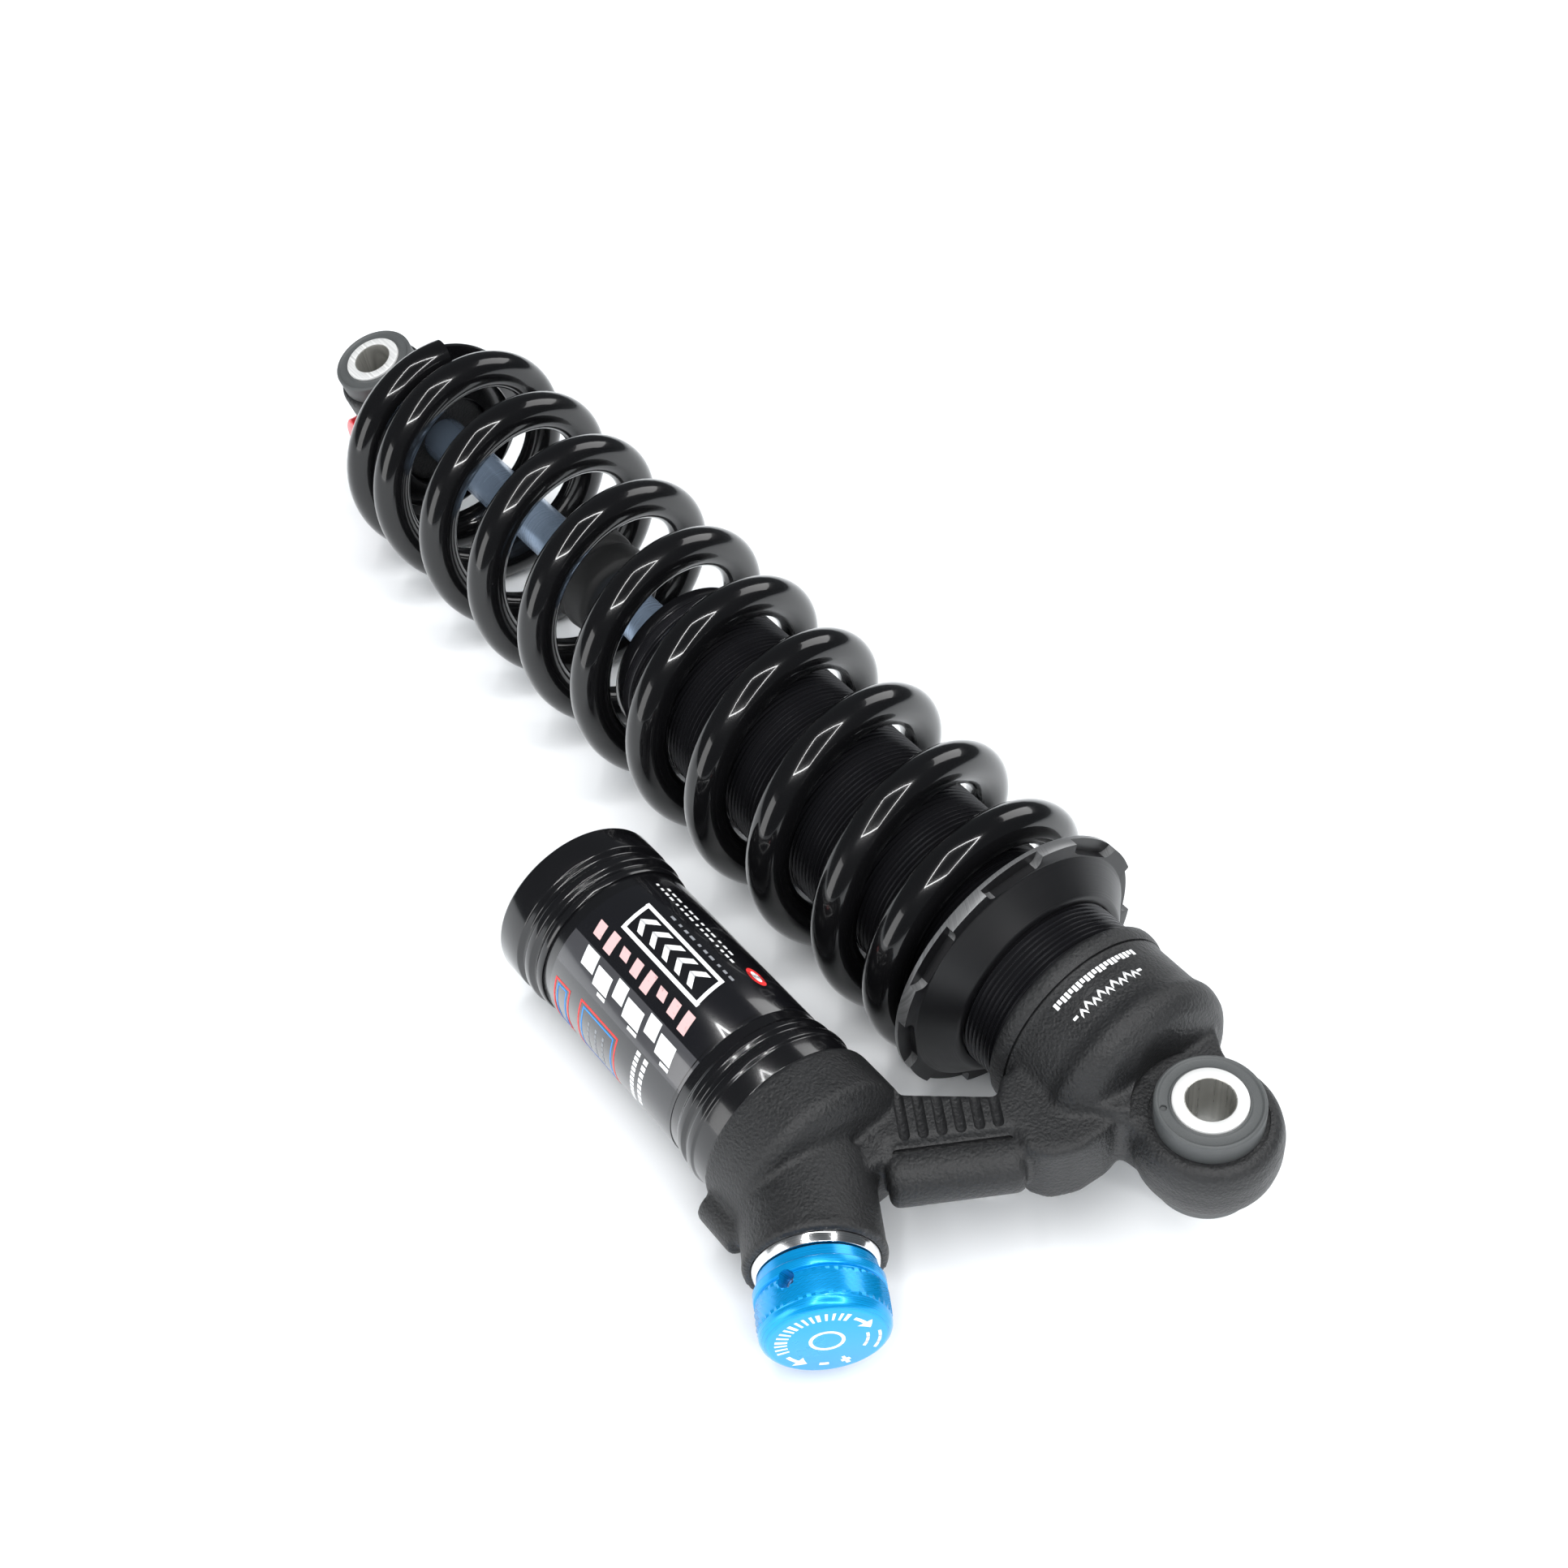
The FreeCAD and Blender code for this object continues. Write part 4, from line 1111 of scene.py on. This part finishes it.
class SHOCK_OT_eyes(PieceOperator):
    """Make the bushes and sleeves of both eyes"""

    bl_idname = "rear_shock.eyes"
    bl_label = "Eye Hardware"

    def make(self, context):
        for end, (centre, bore, body) in EYE_BORES.items():
            for side, way in (("upper", bore), ("lower", -bore)):
                bush = [
                    (0.2, 6.3), (10.7, 6.3), (10.75, 6.55), (10.4, 6.8), (10.4, 8.2), (10.75, 8.5),
                    (10.75, 8.75), (10.4, 9.1), (6.25, 9.1), (6.25, 7.6), (0.2, 7.6),
                ]
                made = lathe(f"{end}_{side}_flange", bush, "polymer", centre, way, 96, 0.12)
                if (end, side) == ("body", "upper"):
                    carve(made, [cylinder_mesh((4.0, 6.5, 9.9), (4.0, 6.5, 12), 0.62, 24)])
                    made.data.set_sharp_from_angle(angle=math.radians(32))
                settle(made, body, f"{end}_eye_bush_{side}")
            sleeve = hoop(-11.1, 11.1, 4.0, 6.25)
            made = lathe(f"{end}_spacer", sleeve, "sleeve", centre, bore, 96, 0.25)
            made.data.materials.append(finish_named("bore"))
            for polygon in made.data.polygons:
                arm = polygon.center - centre
                if (arm - bore * arm.dot(bore)).length < 4.2 * MM:
                    polygon.material_index = 1
            settle(made, SLEEVE_BODIES[end], f"{end}_eye_sleeve")


class SHOCK_OT_shaft(PieceOperator):
    """Make the shaft, the bump stop, the spring retainer and the shaft eye"""

    bl_idname = "rear_shock.shaft"
    bl_label = "Shaft Assembly"

    def make(self, context):
        low, high = box_mm("shaft")
        rod = hoop(low.x, high.x, 2.1, 5.0)
        settle(lathe("polished_shaft_rod", rod, "sky_tinted_steel", steps=96), SHAFT, "shaft")
        start = box_mm("bump_stop")[0].x
        stop = [
            (start, 5.05), (start + 14, 5.05), (start + 14, 9.6), (start + 13.2, 10.4), (start + 10.4, 10.4),
            (start + 9.2, 9.0), (start + 7.6, 9.0), (start + 6.4, 10.4), (start + 1.2, 9.8), (start, 8.6),
        ]
        settle(lathe("bump_rubber", stop, "rubber", steps=96, soften=0.4), "bump_stop", "bump_stop")
        low, high = box_mm("spring_retainer")
        face, rim = low.x + 5, high.z
        retainer = [
            (face - 5, 11.0), (face + 2, 11.0), (face + 2, 13.0), (face + 1.6, rim - 0.6),
            (face + 1.2, rim), (face, rim), (face, 17.6), (face - 5, 16.6),
        ]
        settle(
            lathe("retainer_plate", retainer, "black", steps=160, soften=0.3), SHAFT,
            "spring_retainer",
        )
        clip = hoop(face + 2.0, face + 3.4, 10.2, 12.4)
        settle(lathe("retainer_circlip", clip, "sky_tinted_steel", steps=96), SHAFT, "retainer_ring")
        self.eye()
        knob = [
            (-4.8, 0), (-4.8, 2.05), (0, 2.05), (0, 4.8), (0.4, 5.15), (4.1, 5.15), (4.6, 4.6), (4.6, 0),
        ]
        settle(
            lathe("rebound_dial", knob, "red", REBOUND, (0, 1, 0), 48), "rebound_knob",
            "rebound_knob",
        )

    def eye(self):
        centre, bore, body = EYE_BORES["shaft"]
        middle = centre / MM
        socket = [
            (243.5, 0), (243.5, 10.9), (248.3, 10.9), (248.3, 10.1), (249.9, 10.1), (249.9, 11.6),
            (251, 10.1), (259, 9.4), (259, 0),
        ]
        volumes = [
            cylinder_mesh(middle - bore * 6.2, middle + bore * 6.2, 10.1, 64, 1.0),
            lathe_mesh(socket, Vector(), AXIS_X, 64, 0.3),
            hull_mesh(
                [p for z in (-5.4, 5.4) for p in disc_points(middle + bore * z, bore, 8.2)]
                + list(disc_points((252, 0, 0), (1, 0, 0), 9.3))
            ),
            cylinder_mesh((256.6, 0, 0), (256.6, REBOUND.y / MM - 0.4, 0), 4.9, 32, 0.4),
        ]
        eye = cast("eye_casting", volumes, 0.45, 5)
        spool = [
            (-22, 0), (22, 0), (22, 9.65), (6.2, 9.65), (6.2, BUSH_RADIUS), (-6.2, BUSH_RADIUS),
            (-6.2, 9.65), (-22, 9.65),
        ]
        cuts = [
            lathe_mesh(spool, centre, bore, 96, 0.0),
            cylinder_mesh((240, 0, 0), (251.5, 0, 0), 5.0, 64),
        ]
        carve(eye, cuts, [finish_named("forged"), finish_named("silver")])
        settle(dressed(eye, "shaft_eye_body", ("forged", "silver"), 38), body, "shaft_eye")


class SHOCK_OT_inner(PieceOperator):
    """Give the pieces inside the shock their finishes"""

    bl_idname = "rear_shock.inner"
    bl_label = "Inner Pieces"

    FINISH_OF = {
        "rubber": (
            "seal_head_oring", "shaft_seal", "reservoir_seal", "floating_piston_oring", "top_out_bumper",
        ),
        "polymer": ("shaft_bushing", "piston_band"),
        "black": ("reservoir_plug", "floating_piston", "main_piston"),
        "sky_tinted_steel": (
            "rebound_rod", "piston_nut", "compression_shims", "rebound_shims", "compression_needle",
            "knob_set_screw", "piston_bleed_screw",
        ),
        "silver": ("compression_valve",),
        "brass": ("valve_stem", "valve_core"),
    }

    def make(self, context):
        for finish, names in self.FINISH_OF.items():
            for name in names:
                frame["nodes"][name].data.materials.clear()
                frame["nodes"][name].data.materials.append(finish_named(finish))


CAMERA_LENS = 50.99
CAMERA_PLACE = Vector((-0.13405, 0.15364, 0.31425))
CAMERA_RIGHT = Vector((-0.6003, -0.795, -0.0878))
CAMERA_UP = Vector((0.559, -0.4955, 0.6648))


class SHOCK_OT_stage(PieceOperator):
    """Set out the pale floor, the soft lights and the camera"""

    bl_idname = "rear_shock.stage"
    bl_label = "Stage"

    def make(self, context):
        spring = SPRING_HIGH.z * MM
        lean = math.asin((spring - RESERVOIR_RADIUS * MM - 1.76 * MM) / RESERVOIR.y)
        up = Vector((0, -math.sin(lean), math.cos(lean)))
        bm = bmesh.new()
        bmesh.ops.create_grid(bm, x_segments=1, y_segments=1, size=4.0)
        turn = Vector((0, 0, 1)).rotation_difference(up).to_matrix().to_4x4()
        bmesh.ops.transform(bm, matrix=Matrix.Translation(-up * (spring + 0.05 * MM)) @ turn, verts=bm.verts)
        finish = Finish("studio_floor", list(colours().floor), 0.85)
        cloud = noise(finish.tree, finish.place, 3.0, 2.0)
        finish.colour_from(finish.mix(cloud, shade(colours().floor, 0.985), shade(colours().floor, 1.0)))
        piece_from(bm, "studio_floor", [finish.material])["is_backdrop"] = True
        self.frame_light(Vector((-0.216, 0.0, 0.726)), 0.55, 0.40, 2.2)
        self.light("left_panel", (0.1, 0.9, 0.35), 0.5, 2.4)
        self.light("right_panel", (0.15, -0.9, 0.42), 0.5, 2.4)
        self.sky()
        world = bpy.data.worlds.new("studio")
        world.use_nodes = True
        tree = world.node_tree
        background = tree.nodes["Background"]
        background.inputs["Color"].default_value = (0.86, 0.94, 1.0, 1)
        rays = tree.nodes.new("ShaderNodeLightPath").outputs["Is Glossy Ray"]
        tree.links.new(ramp(tree, rays, 0.0, 1.0, 0.32, 0.1), background.inputs["Strength"])
        context.scene.world = world
        context.scene.view_settings.view_transform = "Standard"
        self.camera(context)

    def light(self, name, place, size, power):
        data = bpy.data.lights.new(name, "AREA")
        data.shape = "SQUARE"
        data.size = size
        data.energy = power
        lamp = bpy.data.objects.new(name, data)
        lamp.location = place
        aim = Vector((0.12, 0.02, 0)) - Vector(place)
        lamp.rotation_euler = aim.to_track_quat("-Z", "Y").to_euler()
        bpy.context.scene.collection.objects.link(lamp)

    def frame_light(self, centre, reach, span, power):
        """Four thin strips between the corners of a rhombus, which gloss black shows as an outline."""
        target = Vector((0.12, 0, 0))
        facing_way = (target - centre).normalized()
        first = (AXIS_X - facing_way * AXIS_X.dot(facing_way)).normalized()
        second = facing_way.cross(first)
        first, second = first * reach, second * span
        corners = [centre + first, centre + second, centre - first, centre - second]
        for i, (start, end) in enumerate(zip(corners, corners[1:] + corners[:1])):
            data = bpy.data.lights.new(f"strip_{i}", "AREA")
            data.shape = "RECTANGLE"
            data.size = (end - start).length
            data.size_y = 0.03
            data.energy = power
            lamp = bpy.data.objects.new(f"strip_{i}", data)
            along = (end - start).normalized()
            turn = Matrix((along, (-facing_way).cross(along), -facing_way)).transposed()
            lamp.matrix_world = Matrix.Translation((start + end) / 2) @ turn.to_4x4()
            bpy.context.scene.collection.objects.link(lamp)

    def sky(self):
        """Broad even light from above, which no gloss shows."""
        data = bpy.data.lights.new("overhead", "SUN")
        data.energy = 1.7
        data.angle = math.radians(80)
        lamp = bpy.data.objects.new("overhead", data)
        lamp.rotation_euler = (math.radians(-18), math.radians(-12), 0)
        lamp.visible_glossy = False
        bpy.context.scene.collection.objects.link(lamp)

    def camera(self, context):
        data = bpy.data.cameras.new("camera")
        data.sensor_width = 36
        data.lens = CAMERA_LENS
        data.clip_start = 0.01
        camera = bpy.data.objects.new("camera", data)
        back = CAMERA_RIGHT.cross(CAMERA_UP).normalized()
        turn = Matrix((CAMERA_RIGHT, CAMERA_UP, back)).transposed()
        camera.matrix_world = Matrix.Translation(CAMERA_PLACE) @ turn.to_4x4()
        context.scene.collection.objects.link(camera)
        context.scene.camera = camera


class SHOCK_PT_panel(bpy.types.Panel):
    """Lists the shock's pieces, sizes and colours"""

    bl_idname = "SHOCK_PT_panel"
    bl_label = "Rear Shock"
    bl_space_type = "VIEW_3D"
    bl_region_type = "UI"
    bl_category = "Rear Shock"

    def draw(self, context):
        for settings in (sizes(), colours()):
            for name in settings.bl_rna.properties.keys():
                if name not in ("rna_type", "name"):
                    self.layout.prop(settings, name)
        for operator in PIECES:
            self.layout.operator(operator.bl_idname)


PIECES = (
    SHOCK_OT_stage, SHOCK_OT_forging, SHOCK_OT_damper_tube, SHOCK_OT_spring, SHOCK_OT_preload,
    SHOCK_OT_reservoir, SHOCK_OT_adjuster, SHOCK_OT_eyes, SHOCK_OT_shaft, SHOCK_OT_inner,
)
CLASSES = (ShockSizes, ShockColours, *PIECES, SHOCK_PT_panel)


def register():
    for cls in CLASSES:
        bpy.utils.register_class(cls)
    bpy.types.Scene.shock_sizes = bpy.props.PointerProperty(type=ShockSizes)
    bpy.types.Scene.shock_colours = bpy.props.PointerProperty(type=ShockColours)


def unregister():
    del bpy.types.Scene.shock_colours
    del bpy.types.Scene.shock_sizes
    for cls in reversed(CLASSES):
        bpy.utils.unregister_class(cls)


def main():
    register()
    for operator in PIECES:
        getattr(bpy.ops.rear_shock, operator.bl_idname.split(".")[1])()
    boxes = {"cad": CAD_BOX, "visual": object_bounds()}
    {name: [list(corner) for corner in box] for name, box in boxes.items()}


if __name__ == "__main__":
    main()
